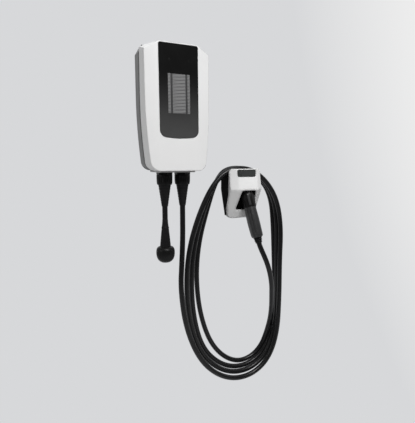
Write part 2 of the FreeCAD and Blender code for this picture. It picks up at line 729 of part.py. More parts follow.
def make_supply_sleeve():
    """Tapered sleeve of the supply plug."""
    profile = [(r, drop - SUPPLY_LEAD_END_Z) for r, drop in SLEEVE_PROFILE]
    return turned(profile, V(-GLAND_X, -GLAND_DEPTH, 0), V(0, 0, -1))


def make_supply_cap():
    """Domed cap of the supply plug."""
    drops = [
        (CAP_SHOULDER_R, 0.0), (CAP_R - 1, CAP_SHOULDER_DROP), (CAP_R, CAP_BELT_DROP),
        (CAP_R - 1.5, CAP_BELT_END_DROP), (CAP_DOME_R, CAP_DOME_DROP), (CAP_END_R, CAP_END_DROP),
    ]
    profile = [(r, drop - CAP_TOP_Z) for r, drop in drops]
    return turned(profile, V(-GLAND_X, -GLAND_DEPTH, 0), V(0, 0, -1))


def holder_side_profile(inset):
    """Side view of the holder shell: points (y, z) from the rear top round the front."""
    return [
        (-HOLDER_REAR, HOLDER_TOP_Z - inset),
        (-HOLDER_TOP_FRONT + inset, HOLDER_TOP_Z - inset),
        (-HOLDER_NOSE_FRONT + inset, HOLDER_NOSE_Z),
        (-HOLDER_BASE_FRONT + inset, HOLDER_BASE_Z + inset),
        (-HOLDER_BASE_REAR, HOLDER_BASE_Z + inset),
        (-HOLDER_REAR, HOLDER_BEND_Z),
    ]


def holder_front_outline(half, top, base, top_corner, base_corner, y0, y1):
    """Front outline of the holder shell pushed from y0 to y1."""
    x = HOLDER_X
    edges = []
    for sign in (1, -1):
        a = V(x + sign * (half - top_corner), y0, top)
        b = V(x + sign * half, y0, top - top_corner)
        c = V(x + sign * half, y0, base + base_corner)
        m = V(x + sign * (half - QUARTER_SAG * base_corner), y0, base + QUARTER_SAG * base_corner)
        d = V(x + sign * (half - base_corner), y0, base)
        edges.append(Part.LineSegment(a, b).toShape())
        edges.append(Part.LineSegment(b, c).toShape())
        edges.append(Part.Arc(c, m, d).toShape())
    for z, flat in ((top, half - top_corner), (base, half - base_corner)):
        edges.append(Part.LineSegment(V(x - flat, y0, z), V(x + flat, y0, z)).toShape())
    return Part.Face(Part.Wire(Part.__sortEdges__(edges))).extrude(V(0, y1 - y0, 0))


def holder_flank(sign, inset, upper):
    """Half space that slopes one flank of the holder shell back to its side."""
    nose = V(HOLDER_X + sign * (HOLDER_HALF_WIDTH - HOLDER_FLANK_WIDTH), -HOLDER_NOSE_FRONT, HOLDER_NOSE_Z)
    across = V(sign * HOLDER_FLANK_WIDTH, HOLDER_FLANK_DROP, 0)
    if upper:
        along = V(0, HOLDER_NOSE_FRONT - HOLDER_TOP_FRONT, HOLDER_TOP_Z - HOLDER_NOSE_Z)
    else:
        along = V(0, HOLDER_NOSE_FRONT - HOLDER_BASE_FRONT, HOLDER_BASE_Z - HOLDER_NOSE_Z)
    normal = across.cross(along)
    if normal.y > 0:
        normal = normal * -1
    normal.normalize()
    return half_space(nose - normal * inset, normal)


def holder_form(inset):
    """Outer or inner form of the holder shell."""
    points = [V(HOLDER_X - HOLDER_CUT_REACH, y, z) for y, z in holder_side_profile(inset)]
    form = prism(points, V(2 * HOLDER_CUT_REACH, 0, 0))
    outline = holder_front_outline(
        HOLDER_HALF_WIDTH - inset, HOLDER_TOP_Z - inset, HOLDER_BASE_Z + inset,
        HOLDER_TOP_CORNER, HOLDER_BASE_CORNER, -AHEAD, 0.0)
    form = form.common(outline)
    for sign in (-1, 1):
        for upper in (True, False):
            form = form.cut(holder_flank(sign, inset, upper))
    return form


def mouth_prism():
    """Opening in the front of the holder shell, wider at the bottom."""
    corners = (
        (-MOUTH_TOP_HALF, MOUTH_TOP_Z), (MOUTH_TOP_HALF, MOUTH_TOP_Z),
        (MOUTH_BASE_HALF, MOUTH_BASE_Z), (-MOUTH_BASE_HALF, MOUTH_BASE_Z),
    )
    points = [V(MOUTH_X + x, -AHEAD, z) for x, z in corners]
    opening = prism(points, V(0, AHEAD - HOLDER_BASE_REAR, 0))
    upright = [e for e in opening.Edges if abs(e.tangentAt(e.FirstParameter).y) > 0.9]
    return opening.makeFillet(MOUTH_CORNER, upright)


def window_prism():
    """Rounded outline of the dark window at the top of the holder."""
    x0 = WINDOW_X - WINDOW_HALF_WIDTH
    x1 = WINDOW_X + WINDOW_HALF_WIDTH
    solid = block(x0, x1, -AHEAD, -HOLDER_REAR, WINDOW_BASE_Z, WINDOW_TOP_Z)
    deep = [e for e in solid.Edges if abs(e.tangentAt(e.FirstParameter).y) > 0.9]
    low = [e for e in deep if e.CenterOfMass.z < (WINDOW_BASE_Z + WINDOW_TOP_Z) / 2]
    return solid.makeFillet(WINDOW_CORNER, low)


def holder_skin(out, into):
    """Slab that follows the upper front of the holder shell."""
    top_y, top_z = holder_side_profile(0.0)[1]
    nose_y, nose_z = holder_side_profile(0.0)[2]
    x = HOLDER_X - HOLDER_CUT_REACH
    points = [
        V(x, top_y - out, top_z + 1), V(x, top_y + into, top_z + 1),
        V(x, nose_y + into, nose_z), V(x, nose_y - out, nose_z),
    ]
    return prism(points, V(2 * HOLDER_CUT_REACH, 0, 0))


def plug_point(distance):
    """Point on the plug axis, measured from the tip of the nose."""
    axis = V(PLUG_AXIS)
    axis.normalize()
    return NOSE_POINT + axis * distance


def plug_turned(profile):
    """Solid of revolution on the plug axis."""
    return turned(profile, NOSE_POINT, PLUG_AXIS)


def cup_outside():
    """Outer form of the holster cup that takes the plug nose."""
    radius = NOSE_R + RUNNING_GAP + CUP_WALL
    return plug_turned([(radius, -CUP_FLOOR), (radius, CUP_LENGTH)])


def make_cup():
    """Holster cup: open at its lower end, where the plug goes in."""
    inner = NOSE_R + RUNNING_GAP
    return cup_outside().cut(plug_turned([(inner, 0), (inner, CUP_LENGTH + 1)]))


def make_drum(ring):
    """Black drum on the wall that carries the cable and the cup, its top hollowed where the ring lies."""
    x = HOLDER_X
    left = (
        (-DRUM_HALF_WIDTH, DRUM_SHOULDER_Z), (-DRUM_HALF_WIDTH, DRUM_SIDE_Z), (-DRUM_BASE_HALF, DRUM_BASE_Z),
    )
    pts_l = [V(x + a, 0, b) for a, b in left]
    pts_r = [V(x - a, 0, b) for a, b in left]
    edges = [
        Part.Arc(pts_l[0], V(x, 0, DRUM_TOP_Z), pts_r[0]).toShape(),
        Part.LineSegment(pts_r[0], pts_r[1]).toShape(),
        Part.LineSegment(pts_r[1], pts_r[2]).toShape(),
        Part.LineSegment(pts_r[2], pts_l[2]).toShape(),
        Part.LineSegment(pts_l[2], pts_l[1]).toShape(),
        Part.LineSegment(pts_l[1], pts_l[0]).toShape(),
    ]
    drum = Part.Face(Part.Wire(edges)).extrude(V(0, -HOLDER_REAR, 0))
    side = x - HOLDER_CUT_REACH
    ahead = -HOLDER_REAR - 1
    slope = [
        V(side, -HOLDER_REAR, HOLDER_BEND_Z), V(side, -HOLDER_BASE_REAR, HOLDER_BASE_Z),
        V(side, ahead, HOLDER_BASE_Z), V(side, ahead, HOLDER_BEND_Z),
    ]
    drum = drum.cut(prism(slope, V(2 * HOLDER_CUT_REACH, 0, 0)))
    drum = drum.cut(cup_outside())
    radius = HANDLE_BELLY_R + HANDLE_GAP
    drum = drum.cut(plug_turned([(radius, CUP_LENGTH), (radius, HANDLE_END)]))
    for dx, z in holder_screw_places():
        drum = drum.cut(rod(V(x + dx, 1, z), V(0, -1, 0), WALL_HOLE_R, HOLDER_REAR))
        drum = drum.cut(rod(V(x + dx, -HOLDER_SCREW_SEAT, z), V(0, -1, 0), HOLDER_SCREW_WELL_R, HOLDER_REAR))
    return drum.cut(ring)


def holder_screw_places():
    """Places of the holder's wall screws, from its centre line."""
    return [(sign * HOLDER_SCREW_X, z) for z in HOLDER_SCREW_Z for sign in (-1, 1)]


def make_holder_shell():
    """White shell on the front of the drum, with the plug mouth and window pocket."""
    shell = holder_form(0.0).cut(holder_form(HOLDER_SIDE_WALL))
    shell = shell.cut(mouth_prism())
    pocket = window_prism().common(holder_skin(10, WINDOW_POCKET))
    return shell.cut(pocket)


def make_window():
    """Dark window that fills its pocket at the top of the holder shell."""
    return window_prism().common(holder_skin(0, WINDOW_POCKET)).common(holder_form(0.0))


def make_plug_nose():
    """Front of the charging plug with its contact recess."""
    nose = plug_turned([(NOSE_R - 2, 0), (NOSE_R, 2), (NOSE_R, NOSE_LENGTH)])
    recess = plug_turned([(NOSE_R - NOSE_WALL, 0), (NOSE_R - NOSE_WALL, SHROUD_DEPTH)])
    return nose.cut(recess)


def contact_places():
    """Places of the contacts across the plug face: five on a circle, one centred, two small."""
    places = [(0.0, 0.0, PIN_R)]
    for i in range(PIN_COUNT - 1):
        angle = math.radians(200 + i * 140 / (PIN_COUNT - 2))
        places.append((PIN_CIRCLE * math.cos(angle), PIN_CIRCLE * math.sin(angle), PIN_R))
    for sign in (-1, 1):
        places.append((sign * SIGNAL_X, SIGNAL_Y - 6, SIGNAL_R))
    return places


def place_on_face(x, y, radius, start, length):
    """Cylinder along the plug axis at a place on the plug face."""
    solid = Part.makeCylinder(radius, length, V(x, y, start))
    solid.Placement = FreeCAD.Placement(NOSE_POINT, FreeCAD.Rotation(V(0, 0, 1), PLUG_AXIS))
    return solid


def make_contact_block():
    """Insulating block with a hole for each contact."""
    radius = NOSE_R - NOSE_WALL
    solid = plug_turned([(radius - 1.5, 3), (radius - 1.5, SHROUD_DEPTH - 2), (radius, SHROUD_DEPTH - 2),
                         (radius, SHROUD_DEPTH)])
    for x, y, r in contact_places():
        solid = solid.cut(place_on_face(x, y, r + 0.6, 2, SHROUD_DEPTH - 4))
    return solid


def make_contacts():
    """Contact pins in the block, each standing on the block's floor."""
    return [place_on_face(x, y, r, 6, SHROUD_DEPTH - 8) for x, y, r in contact_places()]


def make_handle():
    """Handle of the charging plug with its latch rib."""
    handle = plug_turned([
        (COLLAR_R - 2, NOSE_LENGTH), (COLLAR_R, NOSE_LENGTH + 3), (COLLAR_R, COLLAR_END),
        (HANDLE_WAIST_R + 1, COLLAR_END + 10), (HANDLE_WAIST_R, HANDLE_WAIST),
        (HANDLE_BELLY_R, HANDLE_BELLY), (HANDLE_END_R + 2, HANDLE_END - 8), (HANDLE_END_R, HANDLE_END),
    ])
    return handle


def make_neck():
    """Ribbed neck of the plug round the cable."""
    profile = [(NECK_RIB_R, HANDLE_END)]
    pitch = (NECK_END - HANDLE_END) / 3
    for i in range(3):
        start = HANDLE_END + i * pitch
        profile += [(NECK_RIB_R - i, start + pitch * 0.55), (NECK_R - 1 - i, start + pitch * 0.55),
                    (NECK_R - 1 - i, start + pitch)]
        if i < 2:
            profile.append((NECK_RIB_R - i - 1, start + pitch))
    return plug_turned(profile)


def coil_place(index, left, fan, right, top, base):
    """Place on the coil seen from the front; the left side fans out by fan below the holder."""
    u, v = COIL_SHAPE[index]
    left_x = left + fan * min(1.0, v / COIL_FAN_SHARE)
    return left_x + u * (right - left_x), top + v * (base - top)


def coil_point(turn, index):
    """Route point of the hanging coil: index runs down the left side, round and up the right."""
    right = COIL_RIGHT_X + COIL_RIGHT_STEP * turn
    x, z = coil_place(index, COIL_LEFT_X, COIL_LEFT_STEP * turn, right, COIL_TOP_Z, COIL_BASE_Z[turn])
    share = index / (len(COIL_SHAPE) - 1)
    depth = COIL_FRONT - COIL_PITCH * (turn + share ** 4)
    return V(x, -depth, z)


def coil_points():
    """All route points of the coil, turn after turn."""
    points = []
    turns = len(COIL_BASE_Z)
    for turn in range(turns):
        first = COIL_FIRST_POINT if turn == 0 else 0
        last = COIL_LAST_POINT if turn == turns - 1 else len(COIL_SHAPE) - 1
        for index in range(int(first), int(last) + 1):
            points.append(coil_point(turn, index))
    return points


def cable_route():
    """Route of the charging cable from the boot, round the coil, to the plug neck."""
    lead_in = [V(GLAND_X, -GLAND_DEPTH, BOOT_TIP_Z - drop) for drop in (0.0, LEAD_IN_DROP)]
    lead_in += [V(*p) for p in LEAD_IN]
    tail = [V(*p) for p in TAIL]
    return lead_in, coil_points(), tail + [plug_point(NECK_END + TAIL_STRAIGHT), plug_point(NECK_END)]


def ring_outline(left, fan, right, top, base):
    """Closed outline of the coil seen from the front."""
    places = [coil_place(i, left, fan, right, top, base) for i in range(len(COIL_SHAPE))]
    return [V(x, 0, z) for x, z in places]


def make_coil():
    """Outer shape of the hanging coil: a ring on the drum, with a flat seat where the lead comes in."""
    turns = len(COIL_BASE_Z)
    right = COIL_RIGHT_X + COIL_RIGHT_STEP * (turns - 1)
    outer = ring_outline(COIL_LEFT_X - CABLE_R, 0.0, right + CABLE_R,
                         COIL_TOP_Z + CABLE_R, COIL_BASE_Z[0] - CABLE_R)
    inner = ring_outline(COIL_LEFT_X + CABLE_R, COIL_LEFT_STEP * (turns - 1), COIL_RIGHT_X - CABLE_R,
                         COIL_TOP_Z - CABLE_R, COIL_BASE_Z[-1] + CABLE_R)
    depth = COIL_FRONT + CABLE_R
    faces = []
    for points in (outer, inner):
        edges = rounded_path(points, closed=True)[0]
        faces.append(Part.Face(Part.Wire(edges)))
    ring = faces[0].extrude(V(0, -depth, 0)).cut(faces[1].extrude(V(0, -depth, 0)))
    box = ring.BoundBox
    ring = ring.cut(block(box.XMin, box.XMax, -COIL_WALL_GAP, 1, box.ZMin, box.ZMax))
    ring = ring.cut(block(box.XMin, COIL_NOTCH_X, -depth - 1, 1, COIL_LEAD_END_Z, box.ZMax))
    front = HOLDER_REAR - COIL_DRUM_GAP
    x = box.XMin
    clear = depth + 1
    wedge = [
        V(x, -front, 0), V(x, -front, COIL_WEDGE_TOP_Z), V(x, -clear, COIL_WEDGE_BASE_Z), V(x, -clear, 0),
    ]
    return ring.cut(prism(wedge, V(box.XLength, 0, 0)))


def main():
    """Build and export every node."""
    export("rear_housing", make_housing())
    export("housing_seal", make_seal())
    export("front_cover", make_cover())
    export("front_panel", make_panel())
    export("display_louvre", make_display())
    export("gland_plate", make_gland_plate())
    export("din_rail", make_rail())
    export("residual_current_device", make_module(DEVICE_X, DEVICE_STEP))
    export("contactor", make_module(CONTACTOR_X, CONTACTOR_STEP))
    export("terminal_block", make_terminals())
    export("control_board", make_board())
    for i, (x, z) in enumerate(cover_screw_places(), 1):
        export("cover_screw_%d" % i, make_cover_screw(x, z))
    for side, sign in (("left", -1), ("right", 1)):
        for piece, solid in make_gland(sign).items():
            export("gland_%s_%s" % (piece, side), solid)
    export("supply_lead_inner", make_inner_lead(-1))
    export("charging_lead_inner", make_inner_lead(1))
    export("supply_lead", gland_holes(-GLAND_X, CABLE_R, SUPPLY_LEAD_END_Z, BOOT_TIP_Z))
    export("supply_plug_sleeve", make_supply_sleeve())
    export("supply_plug_cap", make_supply_cap())
    ring = make_coil()
    export("holder_drum", make_drum(ring))
    export("holder_shell", make_holder_shell())
    export("holder_window", make_window())
    export("holder_cup", make_cup())
    export("plug_nose", make_plug_nose())
    export("plug_contact_block", make_contact_block())
    for i, pin in enumerate(make_contacts(), 1):
        export("plug_contact_%d" % i, pin)
    export("plug_handle", make_handle())
    export("plug_neck", make_neck())
    lead_in, coil, tail = cable_route()
    export("cable_coil", ring)
    start = tube(lead_in + coil[:2], CABLE_R, "charging cable start")
    end = tube(coil[-2:] + tail, CABLE_R, "charging cable tail")
    whole, radii = rounded_path(lead_in + coil + tail)
    total = sum(e.Length for e in whole)
    print("whole route length", round(total), "smallest radius", round(min(radii)), "points", len(radii) + 2)
    export("charging_cable_start", start.cut(half_space(V(0, 0, COIL_LEAD_END_Z), V(0, 0, -1))))
    export("charging_cable_tail", largest(end.cut(ring)))


def make_cover_screw(x, z):
    """Screw from its seat in the cover's sleeve back into the housing post."""
    head = rod(V(x, -COVER_SCREW_SEAT, z), V(0, -1, 0), COVER_SCREW_HEAD_R, COVER_SCREW_HEAD_H)
    shank = rod(V(x, -COVER_SCREW_SEAT, z), V(0, 1, 0), COVER_SCREW_R, COVER_SCREW_LENGTH)
    return head.fuse(shank).removeSplitter()


def largest(shape):
    """Largest solid of a shape."""
    return max(shape.Solids, key=lambda s: s.Volume)


main()
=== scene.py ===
"""Looks of a wall charger with a tethered cable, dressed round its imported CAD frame.

Lengths are metres in the row's own axes: +X to the right, the front faces -Y, +Z up.
"""

import logging
import math
from dataclasses import dataclass, replace
from enum import Enum
from typing import Protocol, Sequence

import bmesh
import bpy
from bmesh.types import BMEdge, BMesh, BMVert
from bpy.types import Material, Node, NodeSocket as Socket, NodeTree, Object
from mathutils import Matrix, Vector


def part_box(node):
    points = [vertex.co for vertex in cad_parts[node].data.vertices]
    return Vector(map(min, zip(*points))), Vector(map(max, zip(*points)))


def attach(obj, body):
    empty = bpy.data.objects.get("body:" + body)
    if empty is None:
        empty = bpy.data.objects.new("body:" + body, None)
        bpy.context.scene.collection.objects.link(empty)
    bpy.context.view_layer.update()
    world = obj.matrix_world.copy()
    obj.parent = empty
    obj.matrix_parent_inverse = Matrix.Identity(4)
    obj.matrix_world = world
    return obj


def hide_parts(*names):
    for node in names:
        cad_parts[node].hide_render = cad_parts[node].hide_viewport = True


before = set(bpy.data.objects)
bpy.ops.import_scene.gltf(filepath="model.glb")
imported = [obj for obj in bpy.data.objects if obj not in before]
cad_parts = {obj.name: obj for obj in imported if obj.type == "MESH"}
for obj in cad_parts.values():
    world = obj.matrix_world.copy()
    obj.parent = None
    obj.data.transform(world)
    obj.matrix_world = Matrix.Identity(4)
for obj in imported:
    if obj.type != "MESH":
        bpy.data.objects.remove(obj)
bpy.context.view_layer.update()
LOG = logging.getLogger("wallbox")
BODY = "root"
Colour = tuple[float, float, float]
Point = tuple[float, float, float]
Pairs = tuple[tuple[float, float], ...]


class Side(Enum):
    """The two cable glands under the charger."""

    LEFT = -1
    RIGHT = 1


# Sizes shared with the CAD frame

GLAND_X = 0.0312
GLAND_DEPTH = 0.055
BOOT_TIP_Z = -0.310
CABLE_RADIUS = 0.009
NOSE_POINT = Vector((0.262, -0.058, -0.222))
PLUG_AXIS = Vector((0.131, -0.278, -0.953)).normalized()
HANDLE_END = 0.218
NECK_END = 0.240

def plug_point(distance: float) -> Vector:
    """Point on the plug's axis.

    Args:
        distance: Metres from the tip of the nose towards the cable.

    Returns:
        The point in the row frame.
    """
    return NOSE_POINT + PLUG_AXIS * distance


# Node trees


@dataclass(frozen=True)
class Noise:
    """Noise in object space: features per metre, octaves and the scale of each axis."""

    scale: float
    detail: float = 4.0
    stretch: Point = (1.0, 1.0, 1.0)


@dataclass(frozen=True)
class Relief:
    """Fine bumps, by strength and height, and the radius of softened edges."""

    strength: float
    height: float
    edge: float


class Nodes:
    """A node tree, built a node at a time."""

    def __init__(self, tree: NodeTree) -> None:
        """Keep the tree.

        Args:
            tree: Node tree to build in.
        """
        self.tree = tree

    def feed(self, value: object, target: Socket) -> None:
        """Join a socket to an input, or set the input to a plain value.

        Args:
            value: Output socket or plain value.
            target: Input socket.
        """
        if isinstance(value, Socket):
            self.tree.links.new(value, target)
        else:
            target.default_value = value

    def node(self, kind: str, *values: object, **settings: object) -> Node:
        """Add a node.

        Args:
            kind: Blender's name for the node type.
            *values: A socket or a plain value for each input, in the node's order.
            **settings: Properties to set on the node.

        Returns:
            The new node.
        """
        made = self.tree.nodes.new(kind)
        for key, value in settings.items():
            setattr(made, key, value)
        for value, target in zip(values, made.inputs):
            self.feed(value, target)
        return made

    def math(self, operation: str, *values: object) -> Socket:
        """Add a math node.

        Args:
            operation: Blender's name of the operation.
            *values: A socket or a number for each input.

        Returns:
            The result's socket.
        """
        return self.node("ShaderNodeMath", *values, operation=operation).outputs[0]

    def vector_math(self, operation: str, *values: object) -> Node:
        """Add a vector math node.

        Args:
            operation: Blender's name of the operation.
            *values: A socket or a plain vector for each input.

        Returns:
            The node, with the outputs Vector and Value.
        """
        return self.node("ShaderNodeVectorMath", *values, operation=operation)

    def parts(self, vector: Socket) -> dict[str, Socket]:
        """Sockets of a vector's X, Y and Z."""
        return {socket.name: socket for socket in self.node("ShaderNodeSeparateXYZ", vector).outputs}

    def remap(self, value: Socket, start: float, end: float, low: float = 0.0, high: float = 1.0,
              **settings: object) -> Socket:
        """Map one range of values to another.

        Args:
            value: Socket with the value.
            start: Value that gives low.
            end: Value that gives high.
            low: Result at the start.
            high: Result at the end.
            **settings: Properties to set on the node.

        Returns:
            The mapped socket.
        """
        return self.node("ShaderNodeMapRange", value, start, end, low, high, **settings).outputs[0]

    def blend(self, factor: Socket, first: object, second: object) -> Socket:
        """Mix two colours.

        Args:
            factor: Socket from 0 to 1.
            first: Colour or socket at 0.
            second: Colour or socket at 1.

        Returns:
            The mixed colour's socket.
        """
        made = self.node("ShaderNodeMix", factor, data_type="RGBA")
        targets = [socket for socket in made.inputs if socket.type == "RGBA"]
        for value, target in zip((first, second), targets):
            self.feed(value if isinstance(value, Socket) else (*value, 1.0), target)
        return [socket for socket in made.outputs if socket.type == "RGBA"][0]


class Surface(Nodes):
    """A Principled material with its node tree."""

    noise_low: float = 0.3
    noise_high: float = 0.7
    edge_samples: int = 6

    def __init__(self, name: str) -> None:
        """Make an empty Principled material.

        Args:
            name: Name of the material.
        """
        self.material = bpy.data.materials.new(name)
        self.material.use_nodes = True
        super().__init__(self.material.node_tree)
        self.shader = self.tree.nodes["Principled BSDF"]
        self.output = self.tree.nodes["Material Output"]
        self.place = self.node("ShaderNodeTexCoord").outputs["Object"]

    def set(self, **values: object) -> None:
        """Feed the shader's own sockets.

        Args:
            **values: Socket names, with underscores for spaces, and a socket or a plain value for each.
        """
        for key, value in values.items():
            self.feed(value, self.shader.inputs[key.replace("_", " ")])

    def noise(self, texture: Noise) -> Socket:
        """Add a noise texture in object space.

        Args:
            texture: The noise.

        Returns:
            Its value, from 0 to 1.
        """
        mapping = self.node("ShaderNodeMapping", self.place)
        mapping.inputs["Scale"].default_value = texture.stretch
        made = self.node("ShaderNodeTexNoise", mapping.outputs[0])
        made.inputs["Scale"].default_value = texture.scale
        made.inputs["Detail"].default_value = texture.detail
        return made.outputs["Fac"]

    def spread(self, value: Socket, low: float, high: float) -> Socket:
        """Map the middle range of a noise to two values.

        Args:
            value: The noise.
            low: Result at the range's low end.
            high: Result at its high end.

        Returns:
            The mapped socket.
        """
        return self.remap(value, self.noise_low, self.noise_high, low, high)

    def bumps(self, field: Socket, relief: Relief) -> None:
        """Give the shader a bumped normal over softened edges.

        Args:
            field: Height field, from 0 to 1.
            relief: Bumps and edge radius.
        """
        soft = self.node("ShaderNodeBevel", relief.edge, samples=self.edge_samples)
        bump = self.node("ShaderNodeBump")
        bump.inputs["Strength"].default_value = relief.strength
        bump.inputs["Distance"].default_value = relief.height
        self.feed(field, bump.inputs["Height"])
        self.feed(soft.outputs[0], bump.inputs["Normal"])
        self.set(Normal=bump.outputs[0])


class Finish(Protocol):
    """Anything that can build a material."""

    name: str

    def build(self) -> Material:
        """Build the material.

        Returns:
            The material.
        """


@dataclass(frozen=True)
class RimShade:
    """Painted shade: a dark band along the housing's front rim, in the gap beside the cover, and a painted
    shadow over the foot under it.
    """

    rim_y: float
    rim_half: float
    foot_z: float
    foot_fade: float = 0.012
    painted_rim_shade: Colour = (0.075, 0.075, 0.076)
    foot_painted_lighting: Colour = (0.018, 0.018, 0.019)

    def over(self, surface: Surface, colour: Socket) -> Socket:
        """Lay the painted shade and the painted shadow over a colour.

        Args:
            surface: Surface to build in.
            colour: Socket with the colour.

        Returns:
            The shaded colour's socket.
        """
        place = surface.parts(surface.place)
        away = surface.math("ABSOLUTE", surface.math("SUBTRACT", place["Y"], self.rim_y))
        # Painted shade in the gap along the front rim.
        colour = surface.blend(surface.math("LESS_THAN", away, self.rim_half), colour, self.painted_rim_shade)
        # Painted shadow, darker the further below the foot's height.
        under = surface.math("SUBTRACT", self.foot_z, place["Z"])
        return surface.blend(surface.math("MULTIPLY", under, 1 / self.foot_fade), colour, self.foot_painted_lighting)


@dataclass(frozen=True)
class Moulding:
    """Moulded plastic or rubber: cloudy colour, fine grain and soft edges."""

    name: str
    colour: Colour
    roughness: float
    grain: float = 1500.0
    height: float = 0.00008
    variation: float = 0.05
    edge: float = 0.0008
    specular: float = 0.5
    dust: float = 0.0
    # Painted shade and shadow laid over the colour, where given.
    shade: RimShade | None = None
    dust_colour: Colour = (0.16, 0.16, 0.16)
    roughness_range: float = 0.05
    grain_strength: float = 0.6
    grain_detail: float = 2.0
    cloud: Noise = Noise(9.0, 3.0)
    specks: Noise = Noise(60.0, 6.0, (1.0, 1.0, 0.35))
    smear: Noise = Noise(35.0, 5.0)

    def build(self) -> Material:
        """Build the material.

        Returns:
            The material.
        """
        surface = Surface(self.name)
        dark = tuple(c * (1 - self.variation) for c in self.colour)
        light = tuple(min(1.0, c * (1 + self.variation)) for c in self.colour)
        colour = surface.blend(surface.spread(surface.noise(self.cloud), 0.0, 1.0), dark, light)
        if self.dust:
            specks = surface.spread(surface.noise(self.specks), 0.0, self.dust)
            colour = surface.blend(specks, colour, self.dust_colour)
        # Painted shade and painted shadow, for the finishes that have them.
        if self.shade:
            colour = self.shade.over(surface, colour)
        low, high = self.roughness - self.roughness_range, self.roughness + self.roughness_range
        smear = surface.spread(surface.noise(self.smear), low, high)
        surface.set(Base_Color=colour, Roughness=smear, Specular_IOR_Level=self.specular)
        grain = surface.noise(Noise(self.grain, self.grain_detail))
        surface.bumps(grain, Relief(self.grain_strength, self.height, self.edge))
        return surface.material


@dataclass(frozen=True)
class GlossPanel:
    """Smooth black panel with a painted reflection: its colour grows a little lighter towards its foot."""

    name: str
    top_colour: Colour
    foot_painted_lighting: Colour
    top_z: float
    foot_z: float
    roughness_low: float = 0.13
    roughness_high: float = 0.20
    cloud_low: float = 0.94
    cloud_high: float = 1.06
    cloud: Noise = Noise(22.0, 3.0)
    smear: Noise = Noise(18.0, 5.0)
    grain: Noise = Noise(2500.0, 1.0)
    relief: Relief = Relief(0.3, 0.00002, 0.0006)

    def build(self) -> Material:
        """Build the material.

        Returns:
            The material.
        """
        surface = Surface(self.name)
        height = surface.parts(surface.place)["Z"]
        # Painted reflection: the colour lightens from the top towards the foot.
        fade = surface.remap(height, self.top_z, self.foot_z, interpolation_type="SMOOTHSTEP")
        cloud = surface.spread(surface.noise(self.cloud), self.cloud_low, self.cloud_high)
        colour = surface.blend(surface.math("MULTIPLY", fade, cloud), self.top_colour, self.foot_painted_lighting)
        smear = surface.spread(surface.noise(self.smear), self.roughness_low, self.roughness_high)
        surface.set(Base_Color=colour, Roughness=smear)
        surface.bumps(surface.noise(self.grain), self.relief)
        return surface.material


@dataclass(frozen=True)
class LouvrePrint:
    """Grey louvred display: lighter bars in three fields with fine lines, painted shade in the slots between
    the bars, dark between the fields.
    """

    name: str
    bar_colour: Colour
    slot_shade_colour: Colour
    ground_colour: Colour
    centre_half: float
    side_inner: float
    base_z: float
    height: float
    bars: int = 12
    lines: int = 36
    slant: float = 0.16
    bar_half: float = 0.31
    line_swing: float = 0.22
    line_level: float = 0.78
    roughness_low: float = 0.42
    roughness_high: float = 0.52
    smear: Noise = Noise(30.0, 4.0)
    grain: Noise = Noise(1800.0, 2.0)
    relief: Relief = Relief(0.4, 0.00004, 0.0003)

    def build(self) -> Material:
        """Build the material.

        Returns:
            The material.
        """
        surface = Surface(self.name)
        place = surface.parts(surface.place)
        across = surface.math("ABSOLUTE", place["X"])
        in_centre = surface.math("LESS_THAN", across, self.centre_half)
        in_side = surface.math("GREATER_THAN", across, self.side_inner)
        field = surface.math("MAXIMUM", in_centre, in_side)
        slant = surface.math("MULTIPLY", place["X"], self.slant)
        rise = surface.math("SUBTRACT", surface.math("SUBTRACT", place["Z"], self.base_z), slant)
        share = surface.math("FRACT", surface.math("DIVIDE", rise, self.height / self.bars))
        from_middle = surface.math("ABSOLUTE", surface.math("SUBTRACT", share, 0.5))
        on_bar = surface.math("LESS_THAN", from_middle, self.bar_half)
        wave = surface.math("SINE", surface.math("MULTIPLY", rise, 2 * math.pi * self.lines / self.height))
        ripple = surface.math("MULTIPLY_ADD", wave, self.line_swing, self.line_level)
        # Painted shade: the slots between the bars are darker than the bars.
        bars = surface.blend(surface.math("MULTIPLY", on_bar, ripple), self.slot_shade_colour, self.bar_colour)
        colour = surface.blend(field, self.ground_colour, bars)
        smear = surface.spread(surface.noise(self.smear), self.roughness_low, self.roughness_high)
        surface.set(Base_Color=colour, Roughness=smear)
        surface.bumps(surface.noise(self.grain), self.relief)
        return surface.material


@dataclass(frozen=True)
class Metal:
    """Plated or bare metal with drawn streaks."""

    name: str
    colour: Colour
    roughness_low: float
    roughness_high: float
    dark_share: float = 0.82
    streak: Noise = Noise(220.0, 4.0, (1.0, 1.0, 0.12))
    relief: Relief = Relief(0.3, 0.00003, 0.0002)

    def build(self) -> Material:
        """Build the material.

        Returns:
            The material.
        """
        surface = Surface(self.name)
        dark = tuple(c * self.dark_share for c in self.colour)
        streak = surface.noise(self.streak)
        colour = surface.blend(surface.spread(streak, 0.0, 1.0), dark, self.colour)
        sheen = surface.spread(streak, self.roughness_low, self.roughness_high)
        surface.set(Base_Color=colour, Roughness=sheen, Metallic=1.0)
        surface.bumps(streak, self.relief)
        return surface.material


WHITE_SHELL = Moulding("white_shell", (0.80, 0.80, 0.80), 0.46, height=0.00006, variation=0.012, edge=0.005)
HOLDER_WHITE = replace(WHITE_SHELL, name="holder_white", edge=0.012)
